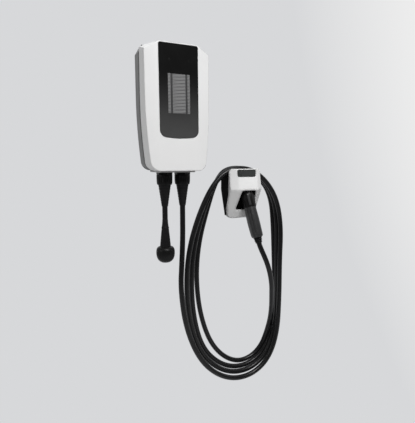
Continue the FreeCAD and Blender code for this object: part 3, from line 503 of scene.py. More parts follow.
# The dark housing carries painted shade along its front rim and a painted shadow over its foot.
DARK_HOUSING = Moulding("dark_housing", (0.215, 0.215, 0.217), 0.5, edge=0.0012,
                        shade=RimShade(rim_y=-0.0460, rim_half=0.0075, foot_z=-0.1760))
PLATE_GREY = Moulding("plate_grey", (0.42, 0.42, 0.42), 0.5)
SEAL = Moulding("seal_rubber", (0.05, 0.05, 0.052), 0.6)
BLACK_PLASTIC = Moulding("black_plastic", (0.006, 0.006, 0.006), 0.40, variation=0.15, specular=0.2)
DRUM_BLACK = replace(BLACK_PLASTIC, name="drum_black", roughness=0.75, specular=0.05)
PLUG_PLASTIC = Moulding("plug_plastic", (0.028, 0.028, 0.029), 0.36, grain=1100.0, height=0.0001,
                        variation=0.12)
CABLE_RUBBER = Moulding("cable_rubber", (0.006, 0.006, 0.0065), 0.36, grain=700.0, height=0.00005, dust=0.01,
                        specular=0.33)
BOOT_RUBBER = Moulding("boot_rubber", (0.007, 0.007, 0.0075), 0.5, grain=900.0, height=0.00007, dust=0.01,
                       specular=0.18)
DEVICE_GREY = Moulding("device_grey", (0.55, 0.56, 0.56), 0.5, variation=0.03)
BOARD_GREEN = Moulding("board_green", (0.03, 0.16, 0.07), 0.35, grain=400.0, variation=0.2)
WINDOW = Moulding("window", (0.045, 0.048, 0.047), 0.28, height=0.00003, variation=0.25)
LENS = Moulding("lens", (0.012, 0.012, 0.012), 0.25, height=0.00001, edge=0.0003)
# The panel's lighter foot is a painted reflection.
PANEL = GlossPanel("black_panel", top_colour=(0.006, 0.006, 0.006), foot_painted_lighting=(0.066, 0.066, 0.066),
                   top_z=0.12, foot_z=-0.115)
DISPLAY = LouvrePrint(
    "display_grey", bar_colour=(0.20, 0.20, 0.20), slot_shade_colour=(0.135, 0.135, 0.137),
    ground_colour=(0.035, 0.035, 0.036), centre_half=0.0210, side_inner=0.0275, base_z=-0.016, height=0.118)
ZINC = Metal("zinc_steel", (0.62, 0.62, 0.60), 0.30, 0.44)
PLATING = Metal("contact_plating", (0.75, 0.74, 0.70), 0.19, 0.33)

NODE_FINISHES: tuple[tuple[str, Finish], ...] = (
    ("front_cover", WHITE_SHELL), ("holder_shell", WHITE_SHELL), ("rear_housing", DARK_HOUSING),
    ("housing_seal", SEAL), ("front_panel", PANEL), ("display_louvre", DISPLAY), ("holder_window", WINDOW),
    ("din_rail", ZINC), ("cover_screw", ZINC), ("residual_current_device", DEVICE_GREY),
    ("contactor", DEVICE_GREY), ("terminal_block", DEVICE_GREY), ("control_board", BOARD_GREEN),
    ("holder_drum", DRUM_BLACK), ("plug_contact_block", BLACK_PLASTIC), ("plug_contact_", PLATING),
    ("gland_seal", SEAL), ("gland_plate", PLATE_GREY), ("supply_lead", CABLE_RUBBER),
    ("charging_lead_inner", CABLE_RUBBER),
)


class FinishStore:
    """Builds each finish once and hands out its material."""

    def __init__(self) -> None:
        """Start with no materials."""
        self.made: dict[str, Material] = {}

    def material(self, finish: Finish) -> Material:
        """Material of a finish.

        Args:
            finish: The finish.

        Returns:
            Its material.
        """
        if finish.name not in self.made:
            self.made[finish.name] = finish.build()
        return self.made[finish.name]

    def dress(self, piece: Object, finish: Finish) -> None:
        """Put a finish on an object, in every slot it has.

        Args:
            piece: The object.
            finish: The finish.
        """
        material = self.material(finish)
        if not piece.material_slots:
            piece.data.materials.append(material)
        for slot in piece.material_slots:
            slot.material = material


# Shapes

DOWN = Vector((0.0, 0.0, -1.0))


@dataclass(frozen=True)
class Ring:
    """One ring of a turned form: its radius, its place along the axis and how deep its flutes are."""

    radius: float
    along: float
    flute: float = 0.0


def finish_mesh(name: str, work: BMesh, sharp_angle: float = 32.0) -> Object:
    """Turn a bmesh into a shown object with smooth faces and sharp edges.

    Args:
        name: Name of the object.
        work: The bmesh, which is freed.
        sharp_angle: Degrees above which an edge stays sharp.

    Returns:
        The object.
    """
    bmesh.ops.recalc_face_normals(work, faces=work.faces)
    mesh = bpy.data.meshes.new(name)
    work.to_mesh(mesh)
    work.free()
    mesh.shade_smooth()
    mesh.set_sharp_from_angle(angle=math.radians(sharp_angle))
    piece = bpy.data.objects.new(name, mesh)
    bpy.context.scene.collection.objects.link(piece)
    return piece


def ringed_tube(rings: int, segments: int, hollow: bool) -> BMesh:
    """Tube of unit radius with one ring of vertices at each whole height, to be shaped ring by ring.

    Args:
        rings: How many rings.
        segments: Vertices of a ring.
        hollow: Joins the last ring to the first, in place of two end faces.

    Returns:
        The bmesh.
    """
    work = bmesh.new()
    bmesh.ops.create_circle(work, cap_ends=False, segments=segments, radius=1.0)
    first = list(work.edges)
    last = first
    for level in range(1, rings):
        grown = bmesh.ops.extrude_edge_only(work, edges=last)["geom"]
        verts = [item for item in grown if isinstance(item, BMVert)]
        bmesh.ops.translate(work, verts=verts, vec=(0.0, 0.0, 1.0))
        edges = [item for item in grown if isinstance(item, BMEdge)]
        last = [edge for edge in edges if all(vert.co.z > level - 0.5 for vert in edge.verts)]
    if hollow:
        bmesh.ops.bridge_loops(work, edges=first + last)
    else:
        bmesh.ops.edgeloop_fill(work, edges=first)
        bmesh.ops.edgeloop_fill(work, edges=last)
    return work


@dataclass(frozen=True)
class Lathe:
    """A turned form about an axis, solid or with a bore, and with flutes where its rings ask.

    A plain ring is divided into the segments, and a fluted one into the flute segments for each flute.
    """

    name: str
    start: Vector
    direction: Vector
    rings: tuple[Ring, ...]
    flutes: int = 0
    hollow: bool = False
    segments: int = 96
    flute_segments: int = 8
    flute_power: float = 1.5

    def build(self) -> Object:
        """Build the object.

        Returns:
            The turned object.
        """
        segments = self.flutes * self.flute_segments or self.segments
        work = ringed_tube(len(self.rings), segments, self.hollow)
        basis = self.direction.to_track_quat("Z", "X").to_matrix()
        for vert in work.verts:
            ring = self.rings[round(vert.co.z)]
            angle = math.atan2(vert.co.y, vert.co.x)
            dip = ring.flute * max(0.0, math.cos(self.flutes * angle)) ** self.flute_power
            radius = ring.radius - dip
            local = Vector((radius * math.cos(angle), radius * math.sin(angle), ring.along))
            vert.co = self.start + basis @ local
        return finish_mesh(self.name, work)


@dataclass(frozen=True)
class Section:
    """Section of the plug's handle: place along the axis, half width, half depth and squareness.

    The ridge stands out from it at the front, and the grooves dip into it at both sides.
    """

    along: float
    side: float
    front: float
    power: float = 2.2
    ridge: float = 0.0
    groove: float = 0.0


@dataclass(frozen=True)
class PlugHandle:
    """Handle of the charging plug: an oval loft with two lengthwise grooves and a latch ridge."""

    name: str = "plug_grip"
    segments: int = 144
    groove_angle: float = 48.0
    groove_width: float = 11.0
    ridge_width: float = 16.0
    sharp_angle: float = 28.0
    sections: tuple[Section, ...] = (
        Section(0.0570, 0.0215, 0.0220, 2.0),
        Section(0.0590, 0.0236, 0.0240, 2.0),
        Section(0.0640, 0.0242, 0.0245, 2.0, 0.0012),
        Section(0.0760, 0.0240, 0.0245, 2.1, 0.0012),
        Section(0.0900, 0.0230, 0.0240, 2.2, 0.0010),
        Section(0.1040, 0.0216, 0.0232, 2.3, 0.0004),
        Section(0.1090, 0.0212, 0.0229, 2.4),
        Section(0.1105, 0.0200, 0.0218, 2.4),
        Section(0.1125, 0.0198, 0.0220, 2.5, 0.0, 0.0006),
        Section(0.1180, 0.0197, 0.0223, 2.6, 0.0, 0.0034),
        Section(0.1350, 0.0199, 0.0230, 2.6, 0.0, 0.0034),
        Section(0.1550, 0.0202, 0.0236, 2.6, 0.0, 0.0034),
        Section(0.1750, 0.0203, 0.0236, 2.6, 0.0, 0.0034),
        Section(0.1950, 0.0200, 0.0228, 2.5, 0.0, 0.0030),
        Section(0.2060, 0.0196, 0.0220, 2.5, 0.0, 0.0010),
        Section(0.2130, 0.0191, 0.0211, 2.4),
        Section(0.2165, 0.0183, 0.0200, 2.3),
        Section(0.2180, 0.0165, 0.0180, 2.2),
    )

    def axes(self) -> tuple[Vector, Vector]:
        """Axes across the plug.

        Returns:
            The way to its right side and the way to its front.
        """
        right = Vector((1.0, 0.0, 0.0))
        right = (right - PLUG_AXIS * right.dot(PLUG_AXIS)).normalized()
        return right, PLUG_AXIS.cross(right).normalized()

    def radius_change(self, section: Section, degrees: float) -> float:
        """How far the outline stands out or dips at an angle from the front.

        Args:
            section: The section.
            degrees: Angle from the front, from -180 to 180.

        Returns:
            Metres, out being positive.
        """
        ridge = math.exp(-((degrees / self.ridge_width) ** 2)) * section.ridge
        off_groove = (abs(degrees) - self.groove_angle) / self.groove_width
        return ridge - math.exp(-(off_groove ** 2)) * section.groove

    def build(self) -> Object:
        """Build the handle.

        Returns:
            The lofted object.
        """
        right, front = self.axes()
        work = ringed_tube(len(self.sections), self.segments, hollow=False)
        for vert in work.verts:
            section = self.sections[round(vert.co.z)]
            across, ahead = vert.co.x, vert.co.y
            size = (abs(across) ** section.power + abs(ahead) ** section.power) ** (-1 / section.power)
            change = self.radius_change(section, math.degrees(math.atan2(across, ahead)))
            x = across * (size * section.side + change)
            y = ahead * (size * section.front + change)
            vert.co = plug_point(section.along) + right * x + front * y
        return finish_mesh(self.name, work, self.sharp_angle)


# Cable


@dataclass(frozen=True)
class CableRoute:
    """Route of the charging cable: from the gland, a little over three turns over the holder, up to the plug.

    The shape is one turn from its top, down the left and up the right, as shares of its width and height.
    Each turn behind the first is narrower, hangs less low and lies a pitch nearer to the wall. The turns fan
    out at the left below the top, come closer low down, and are pulled in at the upper right.
    """

    lead_in: tuple[Point, ...] = (
        (0.0312, -0.055, -0.358), (0.029, -0.0595, -0.424), (0.022, -0.068, -0.502),
    )
    tail: tuple[Point, ...] = (
        (0.337, -0.0165, -0.941), (0.382, -0.018, -0.903), (0.400, -0.027, -0.845), (0.401, -0.048, -0.783),
        (0.387, -0.076, -0.722), (0.368, -0.103, -0.664), (0.351, -0.126, -0.610), (0.3325, -0.139, -0.558),
        (0.3145, -0.1410, -0.512),
    )
    tail_straight: float = 0.012
    shape: Pairs = (
        (0.470, 0.000), (0.290, 0.062), (0.130, 0.190), (0.020, 0.350), (-0.015, 0.520), (0.030, 0.700),
        (0.150, 0.860), (0.320, 0.960), (0.520, 1.012), (0.730, 1.008), (0.900, 0.945), (0.990, 0.820),
        (1.004, 0.640), (1.001, 0.450), (1.012, 0.290), (0.965, 0.155), (0.850, 0.062), (0.680, 0.000),
    )
    left_x: float = 0.0195
    left_step: float = 0.027
    right_x: float = 0.425
    right_step: float = 0.003
    top_z: float = -0.188
    base_z: tuple[float, ...] = (-0.970, -0.957, -0.948, -0.939)
    low_left: tuple[float, ...] = (0.0, 0.014, 0.032, 0.079)
    low_from: float = 0.6
    low_to: float = 0.88
    front: float = 0.0755
    pitch: float = 0.0195
    fan_share: float = 0.29
    fan_power: float = 4.0
    pull: float = 0.0080
    pull_at: float = 0.28
    pull_reach: float = 0.28
    first_point: int = 4
    last_point: int = 8

    def coil_point(self, turn: int, index: int) -> Vector:
        """Route point of the hanging coil.

        Args:
            turn: Turn, counted from the front.
            index: Point of the turn: down the left side, round and up the right.

        Returns:
            The point in the row frame.
        """
        u, v = self.shape[index]
        fanned = 1.0 - max(0.0, 1.0 - v / self.fan_share) ** self.fan_power
        lowered = min(1.0, max(0.0, (v - self.low_from) / (self.low_to - self.low_from)))
        offset = self.left_step * turn * fanned
        left = self.left_x + offset + lowered * (self.low_left[turn] - offset)
        pulled = max(0.0, 1.0 - abs(v - self.pull_at) / self.pull_reach)
        right = self.right_x + (self.right_step - self.pull * pulled) * turn
        share = index / (len(self.shape) - 1)
        depth = self.front - self.pitch * (turn + share ** 4)
        return Vector((left + u * (right - left), -depth, self.top_z + v * (self.base_z[turn] - self.top_z)))

    def points(self) -> list[Vector]:
        """All route points.

        Returns:
            The control points, from the boot's tip to the plug's neck.
        """
        route = [Vector((GLAND_X, -GLAND_DEPTH, BOOT_TIP_Z))] + [Vector(p) for p in self.lead_in]
        turns = len(self.base_z)
        for turn in range(turns):
            first = self.first_point if turn == 0 else 0
            last = self.last_point if turn == turns - 1 else len(self.shape) - 1
            route += [self.coil_point(turn, index) for index in range(first, last + 1)]
        route += [Vector(p) for p in self.tail]
        return route + [plug_point(NECK_END + self.tail_straight), plug_point(NECK_END)]


def cable_curve(name: str, points: Sequence[Vector], radius: float) -> Object:
    """Round cable along a smooth NURBS line.

    Args:
        name: Name of the object.
        points: Control points.
        radius: Radius of the cable.

    Returns:
        The curve object.
    """
    curve = bpy.data.curves.new(name, "CURVE")
    curve.dimensions = "3D"
    spline = curve.splines.new("NURBS")
    spline.points.add(len(points) - 1)
    for control, point in zip(spline.points, points):
        control.co = (*point, 1.0)
    spline.order_u = 3
    spline.use_endpoint_u = True
    spline.resolution_u = 10
    curve.bevel_depth = radius
    curve.bevel_resolution = 8
    curve.use_fill_caps = True
    piece = bpy.data.objects.new(name, curve)
    bpy.context.scene.collection.objects.link(piece)
    return piece


# Sub-assemblies


@dataclass(frozen=True)
class Assembly:
    """Common part of the sub-assemblies: seats pieces on the frame and reports them."""

    store: FinishStore

    def seat(self, piece: Object, finish: Finish, slot: str, *nodes: str) -> Object:
        """Dress a piece, let it ride and say what it replaces.

        Args:
            piece: The piece.
            finish: Its finish.
            slot: Name of a material slot; not used.
            *nodes: CAD nodes that it stands for.

        Returns:
            The piece.
        """
        self.store.dress(piece, finish)
        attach(piece, BODY)
        if nodes:
            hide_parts(*nodes)
        LOG.info("%s stands for %s", piece.name, ", ".join(nodes) or "no node")
        return piece


@dataclass(frozen=True)
class Glands(Assembly):
    """Gland nuts and bend boots under the charger, by their heights and radii."""

    nut_top: float = -0.205
    nut_base: float = -0.238
    nut_radius: float = 0.0261
    nut_neck: float = 0.0243
    nut_flutes: int = 20
    bore: float = 0.0160
    boot_top_radius: float = 0.0208
    boot_tip_radius: float = 0.0104
    boot_bore: float = 0.0091
    boot_ribs: int = 6
    first_rib: float = 0.008
    rib_height: float = 0.0006
    rib_profile: Pairs = ((0.0, 0.0), (0.0012, 1.0), (0.0026, 1.0), (0.0038, 0.0))

    def nut_rings(self) -> tuple[Ring, ...]:
        """Rings of the fluted gland nut, from its top.

        Returns:
            The rings.
        """
        radius = self.nut_radius
        height = self.nut_top - self.nut_base
        return (
            Ring(self.bore, 0.0), Ring(radius - 0.0016, 0.0), Ring(radius - 0.0004, 0.0008),
            Ring(radius, 0.0020), Ring(radius, 0.0060), Ring(radius, 0.0068, 0.0012),
            Ring(radius - 0.0004, 0.0240, 0.0012), Ring(radius - 0.0006, 0.0250),
            Ring(radius - 0.0012, 0.0290), Ring(self.nut_neck, height - 0.0010),
            Ring(self.nut_neck - 0.0012, height), Ring(self.boot_top_radius - 0.002, height),
            Ring(self.bore, height - 0.0040),
        )

    def boot_rings(self) -> tuple[Ring, ...]:
        """Rings of the tapered bend boot with its shallow ribs, from its top.

        Returns:
            The rings.
        """
        height = self.nut_base - BOOT_TIP_Z
        taper = (self.boot_tip_radius - self.boot_top_radius) / height
        pitch = height / (self.boot_ribs + 2)
        rings = [Ring(self.boot_bore, 0.0), Ring(self.boot_top_radius, 0.0)]
        for i in range(self.boot_ribs):
            for offset, share in self.rib_profile:
                along = self.first_rib + i * pitch + offset
                rings.append(Ring(self.boot_top_radius + taper * along - share * self.rib_height, along))
        rings.append(Ring(self.boot_tip_radius + 0.0001, height - 0.0012))
        rings.append(Ring(self.boot_tip_radius - 0.0006, height))
        return (*rings, Ring(self.boot_bore, height))

    def make(self) -> None:
        """Make both glands."""
        for side in Side:
            word = side.name.lower()
            x = side.value * GLAND_X
            top = Vector((x, -GLAND_DEPTH, self.nut_top))
            nut = Lathe("gland_cap_" + word, top, DOWN, self.nut_rings(), self.nut_flutes, hollow=True)
            self.seat(nut.build(), BLACK_PLASTIC, "black_plastic", "gland_nut_" + word)
            base = Vector((x, -GLAND_DEPTH, self.nut_base))
            boot = Lathe("bend_boot_" + word, base, DOWN, self.boot_rings(), hollow=True)
            self.seat(boot.build(), BOOT_RUBBER, "seal_rubber", "gland_boot_" + word)


@dataclass(frozen=True)
class SupplyPlug(Assembly):
    """Sleeve and domed cap at the end of the supply lead."""

    sleeve_flutes: int = 18
    cap_flutes: int = 28
    sleeve_rings: tuple[Ring, ...] = (
        Ring(0.0090, 0.3540), Ring(0.0093, 0.3546), Ring(0.0098, 0.3640), Ring(0.0108, 0.3740),
        Ring(0.0116, 0.3780), Ring(0.0123, 0.3792), Ring(0.0125, 0.3830), Ring(0.0120, 0.3842),
        Ring(0.0127, 0.3900, 0.0005), Ring(0.0136, 0.3990, 0.0008), Ring(0.0147, 0.4100, 0.0008),
        Ring(0.0162, 0.4250, 0.0008), Ring(0.0174, 0.4380, 0.0005), Ring(0.0178, 0.4430),
        Ring(0.0178, 0.4460),
    )
    cap_rings: tuple[Ring, ...] = (
        Ring(0.0179, 0.4460), Ring(0.0182, 0.4442), Ring(0.0216, 0.4450), Ring(0.0250, 0.4466),
        Ring(0.0278, 0.4493), Ring(0.0297, 0.4531), Ring(0.0307, 0.4582, 0.0004),
        Ring(0.0310, 0.4640, 0.0008), Ring(0.0309, 0.4695, 0.0009), Ring(0.0303, 0.4748, 0.0009),
        Ring(0.0291, 0.4802, 0.0008), Ring(0.0271, 0.4854, 0.0004), Ring(0.0242, 0.4900),
        Ring(0.0202, 0.4940), Ring(0.0150, 0.4970), Ring(0.0085, 0.4986), Ring(0.0030, 0.4990),
    )

    def make(self) -> None:
        """Make the sleeve and the cap."""
        start = Vector((-GLAND_X, -GLAND_DEPTH, 0.0))
        sleeve = Lathe("supply_grip", start, DOWN, self.sleeve_rings, self.sleeve_flutes).build()
        self.seat(sleeve, BOOT_RUBBER, "cable_rubber", "supply_plug_sleeve")
        cap = Lathe("supply_cap", start, DOWN, self.cap_rings, self.cap_flutes).build()
        self.seat(cap, BLACK_PLASTIC, "black_plastic", "supply_plug_cap")


@dataclass(frozen=True)
class ChargingPlug(Assembly):
    """Handle and ribbed neck of the charging plug."""

    neck_radius: float = 0.0158
    neck_ribs: int = 4
    rib_taper: float = 0.0011
    rib_profile: Pairs = (
        (0.0, 0.0018), (0.0008, 0.0002), (0.0018, 0.0), (0.0030, 0.0002), (0.0038, 0.0018),
    )
    neck_tip: tuple[Ring, ...] = (Ring(0.0100, NECK_END - 0.0004), Ring(0.0094, NECK_END))
    collar_sections: int = 7
    latch_start: float = 0.0620
    latch_length: float = 0.0400
    latch_width: float = 0.0085
    latch_rise: float = 0.0030
    latch_ride: float = 0.0232
    latch_turn: float = math.radians(24.0)
    latch_round: float = 0.24

    def latch(self) -> Object:
        """Ridge of the latch along the front of the collar.

        Returns:
            The object.
        """
        right, front = PlugHandle().axes()
        turn = Matrix.Rotation(self.latch_turn, 3, PLUG_AXIS)
        right, front = turn @ right, turn @ front
        work = bmesh.new()
        bmesh.ops.create_cube(work, size=1.0)
        edges = [edge for edge in work.edges if all(vert.co.z > 0 for vert in edge.verts)]
        bmesh.ops.bevel(work, geom=edges, offset=self.latch_round, segments=4, profile=0.5,
                        affect="EDGES", material=-1)
        for vert in work.verts:
            along = self.latch_start + (vert.co.y + 0.5) * self.latch_length
            height = self.latch_ride + vert.co.z * 2 * self.latch_rise
            vert.co = plug_point(along) + right * vert.co.x * self.latch_width + front * height
        return finish_mesh("plug_latch", work, sharp_angle=40.0)

    def neck(self) -> Object:
        """Ribbed neck that tapers to the cable.

        Returns:
            The object.
        """
        pitch = (NECK_END - HANDLE_END) / self.neck_ribs
        rings = []
        for i in range(self.neck_ribs):
            radius = self.neck_radius - self.rib_taper * i
            start = HANDLE_END + i * pitch
            rings += [Ring(radius - dip, start + offset) for offset, dip in self.rib_profile]
        return Lathe("plug_cable_neck", NOSE_POINT, PLUG_AXIS, (*rings, *self.neck_tip)).build()

    def make(self) -> list[Object]:
        """Make the collar, the handle, the latch and the neck.

        Returns:
            The pieces.
        """
        whole = PlugHandle()
        split = self.collar_sections
        collar = PlugHandle("plug_collar", sections=whole.sections[:split])
        grip = PlugHandle("plug_grip", sections=whole.sections[split - 1:])
        return [
            # The collar inside the holder's mouth wears the black finish as painted shade, darker than the
            # grip.
            self.seat(collar.build(), BLACK_PLASTIC, "black_plastic", "plug_handle"),
            self.seat(grip.build(), PLUG_PLASTIC, "plug_plastic", "plug_handle"),
            self.seat(self.latch(), PLUG_PLASTIC, "plug_plastic", "plug_handle"),
            self.seat(self.neck(), BOOT_RUBBER, "cable_rubber", "plug_neck"),
        ]


@dataclass(frozen=True)
class HolderShell(Assembly):
    """White shell of the holder with its outer creases rounded."""

    radius: float = 0.010
    segments: int = 6
    least_angle: float = math.radians(25.0)
    most_angle: float = math.radians(70.0)
    hull_slack: float = 0.0006
    merge_distance: float = 0.00001
    flat_angle: float = math.radians(1.0)

    def outer_creases(self, work: BMesh) -> list[BMEdge]:
        """Creases between two faces of the outside.

        Args:
            work: The shell's mesh, with its flat faces merged.

        Returns:
            The edges to round.
        """
        outside = set()
        for face in work.faces:
            middle = face.calc_center_median()
            if all((vert.co - middle).dot(face.normal) < self.hull_slack for vert in work.verts):
                outside.add(face)
        return [edge for edge in work.edges
                if len(edge.link_faces) == 2 and all(face in outside for face in edge.link_faces)
                and self.least_angle < edge.calc_face_angle(0.0) < self.most_angle]

    def make(self) -> None:
        """Make the shell."""
        work = bmesh.new()
        work.from_mesh(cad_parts["holder_shell"].data)
        bmesh.ops.remove_doubles(work, verts=work.verts, dist=self.merge_distance)
        bmesh.ops.dissolve_limit(work, angle_limit=self.flat_angle, verts=work.verts, edges=work.edges)
        work.normal_update()
        edges = self.outer_creases(work)
        bmesh.ops.bevel(work, geom=edges, offset=self.radius, segments=self.segments, profile=0.5,
                        affect="EDGES", clamp_overlap=True, material=-1)
        shell = finish_mesh("holder_front", work, sharp_angle=20.0)
        weighted = shell.modifiers.new("flat_faces", "WEIGHTED_NORMAL")
        weighted.keep_sharp = True
        self.seat(shell, HOLDER_WHITE, "white_shell", "holder_shell")


@dataclass(frozen=True)
class HolderWindow(Assembly):
    """Dark window near the top of the holder's shell."""

    grow_left: float = 0.0125
    grow_right: float = -0.0045
    corner: float = 0.0055
    proud: float = 0.0004

    def make(self) -> None:
        """Make the window."""
        low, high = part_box("holder_window")
        left, right = low[0] - self.grow_left, high[0] + self.grow_right
        size = Vector((right - left, high[1] - low[1], high[2] - low[2]))
        work = bmesh.new()
        bmesh.ops.create_cube(work, size=1.0)
        bmesh.ops.scale(work, verts=work.verts, vec=size)
        upright = [e for e in work.edges if abs(e.verts[0].co.y - e.verts[1].co.y) > size.y / 2]
        bmesh.ops.bevel(work, geom=upright, offset=self.corner, segments=6, profile=0.5,
                        affect="EDGES", material=-1)
        middle = Vector(((left + right) / 2, (low[1] + high[1]) / 2 - self.proud, (low[2] + high[2]) / 2))
        bmesh.ops.translate(work, verts=work.verts, vec=middle)
        self.seat(finish_mesh("holder_lens", work), WINDOW, "black_panel", "holder_window")


@dataclass(frozen=True)
class ChargingCable(Assembly):
    """The tethered cable."""

    contacts: int = 7

    def make(self, plug_pieces: Sequence[Object]) -> None:
        """Make the cable.

        Args:
            plug_pieces: Pieces on its far end; not used.
        """
        points = CableRoute().points()
        cable = cable_curve("charging_cable", points, CABLE_RADIUS)
        nodes = ("charging_cable_start", "cable_coil", "charging_cable_tail")
        self.seat(cable, CABLE_RUBBER, "cable_rubber", *nodes)
        carried = ["plug_nose", "plug_contact_block"]
        carried += ["plug_contact_%d" % number for number in range(1, self.contacts + 1)]


@dataclass(frozen=True)
class PanelLenses(Assembly):
    """Two small lenses high on the black panel."""

    places: Pairs = ((-0.0300, 0.1414), (0.0330, 0.1414))
    radius: float = 0.0024
    profile: Pairs = (
        (1.0, -0.0002), (1.0, 0.00010), (0.85, 0.00022), (0.4, 0.00030), (0.05, 0.00032),
    )
    panel_face: float = 0.1118
    lean: float = 0.02
    lean_from: float = 0.1925

    def make(self) -> None:
        """Make the lenses."""
        rings = tuple(Ring(self.radius * share, along) for share, along in self.profile)
        for number, (x, z) in enumerate(self.places, 1):
            depth = self.panel_face + self.lean * (self.lean_from - z)
            start = Vector((x, -depth, z))
            lens = Lathe("panel_lens_%d" % number, start, Vector((0, -1, 0)), rings, segments=48).build()
            self.seat(lens, LENS, "black_panel")


class CadNodes(Assembly):
    """Finishes of the CAD nodes; a node that a piece stands for isn't shown."""

    def make(self) -> None:
        """Dress every CAD node."""
        for name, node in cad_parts.items():
            found = [finish for prefix, finish in NODE_FINISHES if name.startswith(prefix)]
            finish = found[0] if found else BLACK_PLASTIC
            self.store.dress(node, finish)
            LOG.info("%s has the finish %s", name, finish.name)


# Stage, light and camera


@dataclass(frozen=True)
class Shot:
    """Camera of the photograph, in the row frame."""

    location: Point = (-0.4378, -1.2451, -0.1563)
    yaw: float = 25.28
    pitch: float = 7.776
    lens: float = 32.47
    sensor: float = 36.0

    def axes(self) -> tuple[Vector, Vector, Vector]:
        """Right, up and forward axes of the camera.

        Returns:
            The three unit vectors.
        """
        yaw, pitch = math.radians(self.yaw), math.radians(self.pitch)
        right = Vector((math.cos(yaw), -math.sin(yaw), 0.0))
        forward = Vector((math.sin(yaw) * math.cos(pitch), math.cos(yaw) * math.cos(pitch), -math.sin(pitch)))
        return right, right.cross(forward), forward

    def make(self) -> None:
        """Make the camera and set it as the scene's."""
        data = bpy.data.cameras.new("camera")
        data.lens = self.lens
        data.sensor_width = self.sensor
        camera = bpy.data.objects.new("camera", data)
        camera.location = self.location
        camera.rotation_euler = (math.radians(90.0 - self.pitch), 0.0, math.radians(-self.yaw))
        bpy.context.scene.collection.objects.link(camera)
        bpy.context.scene.camera = camera


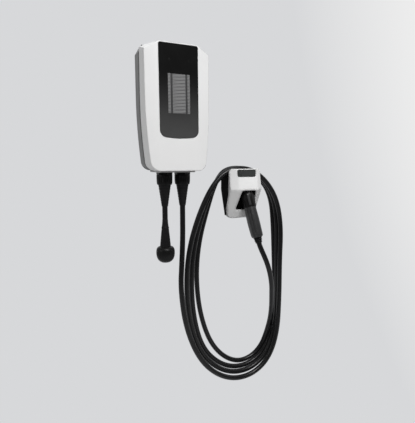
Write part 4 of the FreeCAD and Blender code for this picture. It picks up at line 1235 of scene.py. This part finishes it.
@dataclass(frozen=True)
class Backdrop:
    """Pale backdrop that grows lighter to the upper right, for the world and the floor."""

    shot: Shot
    plain: Colour = (0.680, 0.687, 0.701)
    bright: Colour = (0.847, 0.847, 0.847)
    tilt: float = 0.27
    start: float = 0.320
    end: float = 0.548
    ambient_low: float = 0.10
    ambient_high: float = 0.50
    floor_z: float = -2.1
    floor_half: float = 4.0
    floor_cuts: int = 3
    floor_colour: Colour = (0.62, 0.62, 0.62)
    floor_roughness: float = 0.8
    fleck: Noise = Noise(6.0)
    fleck_share: float = 0.98
    room: Colour = (0.05, 0.05, 0.05)
    room_from: float = 0.75
    room_to: float = -0.15

    def tone(self, nodes: Nodes, direction: Socket) -> Socket:
        """Backdrop colour for a direction from the shot's place.

        Args:
            nodes: Node tree to build in.
            direction: Socket with the direction.

        Returns:
            The colour's socket.
        """
        right, up = self.shot.axes()[:2]
        lean = nodes.vector_math("DOT_PRODUCT", direction, right + up * self.tilt).outputs["Value"]
        return nodes.blend(nodes.remap(lean, self.start, self.end), self.plain, self.bright)

    def seen_rays(self, nodes: Nodes) -> Socket:
        """One where a camera, glossy or transmission ray looks, and zero for other light.

        Args:
            nodes: Node tree to build in.

        Returns:
            The socket.
        """
        path = nodes.node("ShaderNodeLightPath")
        total = path.outputs["Is Camera Ray"]
        for name in ("Is Glossy Ray", "Is Transmission Ray"):
            total = nodes.math("MAXIMUM", total, path.outputs[name])
        return total

    def reflected(self, nodes: Nodes, direction: Socket) -> Socket:
        """What gloss shows: the backdrop ahead of the shot, and a dim room behind it.

        Args:
            nodes: Node tree to build in.
            direction: Socket with the direction.

        Returns:
            The colour's socket.
        """
        ahead = nodes.vector_math("DOT_PRODUCT", direction, self.shot.axes()[2]).outputs["Value"]
        behind = nodes.remap(ahead, self.room_from, self.room_to)
        glossy = nodes.node("ShaderNodeLightPath").outputs["Is Glossy Ray"]
        return nodes.blend(nodes.math("MULTIPLY", behind, glossy), self.tone(nodes, direction), self.room)

    def make_world(self) -> None:
        """Make the world: the backdrop for what looks at it, a soft sky for the rest."""
        world = bpy.data.worlds.new("studio")
        world.use_nodes = True
        world.node_tree.nodes.clear()
        nodes = Nodes(world.node_tree)
        place = nodes.node("ShaderNodeTexCoord").outputs["Generated"]
        sky = nodes.remap(nodes.parts(place)["Z"], -1.0, 1.0, self.ambient_low, self.ambient_high)
        soft = nodes.node("ShaderNodeBackground")
        nodes.feed(sky, soft.inputs["Strength"])
        shown = nodes.node("ShaderNodeBackground", self.reflected(nodes, place))
        mix = nodes.node("ShaderNodeMixShader", self.seen_rays(nodes), soft.outputs[0], shown.outputs[0])
        nodes.node("ShaderNodeOutputWorld", mix.outputs[0])
        bpy.context.scene.world = world

    def make_floor(self) -> None:
        """Make the pale floor far below the object."""
        work = bmesh.new()
        half = self.floor_half
        corners = ((-half, -half), (half, -half), (half, half), (-half, half))
        work.faces.new([work.verts.new((x, y, self.floor_z)) for x, y in corners])
        bmesh.ops.subdivide_edges(work, edges=work.edges, cuts=self.floor_cuts, use_grid_fill=True)
        floor = finish_mesh("studio_floor", work)
        surface = Surface("studio_floor")
        fleck = tuple(c * self.fleck_share for c in self.floor_colour)
        colour = surface.blend(surface.noise(self.fleck), self.floor_colour, fleck)
        surface.set(Base_Color=colour, Roughness=self.floor_roughness)
        away = surface.vector_math("SUBTRACT", surface.place, self.shot.location).outputs["Vector"]
        direction = surface.vector_math("NORMALIZE", away).outputs["Vector"]
        glow = surface.node("ShaderNodeEmission", self.tone(surface, direction))
        seen = self.seen_rays(surface)
        mix = surface.node("ShaderNodeMixShader", seen, surface.shader.outputs[0], glow.outputs[0])
        surface.feed(mix.outputs[0], surface.output.inputs["Surface"])
        floor.data.materials.append(surface.material)


@dataclass(frozen=True)
class SoftLamp:
    """Square area lamp aimed at a point."""

    name: str
    location: Point
    target: Point
    size: float
    power: float

    def make(self) -> None:
        """Make the lamp."""
        data = bpy.data.lights.new(self.name, "AREA")
        data.shape = "SQUARE"
        data.size = self.size
        data.energy = self.power
        lamp = bpy.data.objects.new(self.name, data)
        lamp.location = self.location
        aim = Vector(self.target) - Vector(self.location)
        lamp.rotation_euler = aim.to_track_quat("-Z", "Y").to_euler()
        bpy.context.scene.collection.objects.link(lamp)


LAMPS = (
    SoftLamp("key", (0.25, -2.3, 2.5), (0.12, -0.05, -0.3), size=1.5, power=112.0),
    SoftLamp("left", (-3.0, -0.3, 0.6), (0.1, -0.05, -0.3), size=1.4, power=16.0),
    SoftLamp("right", (3.1, -0.9, 0.7), (0.1, -0.05, -0.3), size=1.4, power=5.0),
)


def main() -> None:
    """Build the scene and report each piece."""
    logging.basicConfig(level=logging.INFO, format="%(name)s: %(message)s")
    shot = Shot()
    shot.make()
    store = FinishStore()
    plug_pieces = ChargingPlug(store).make()
    ChargingCable(store).make(plug_pieces)
    CadNodes(store).make()
    Glands(store).make()
    SupplyPlug(store).make()
    PanelLenses(store).make()
    HolderShell(store).make()
    HolderWindow(store).make()
    backdrop = Backdrop(shot)
    backdrop.make_world()
    backdrop.make_floor()
    for lamp in LAMPS:
        lamp.make()
    bpy.context.scene.view_settings.view_transform = "Standard"


if __name__ == "__main__":
    main()
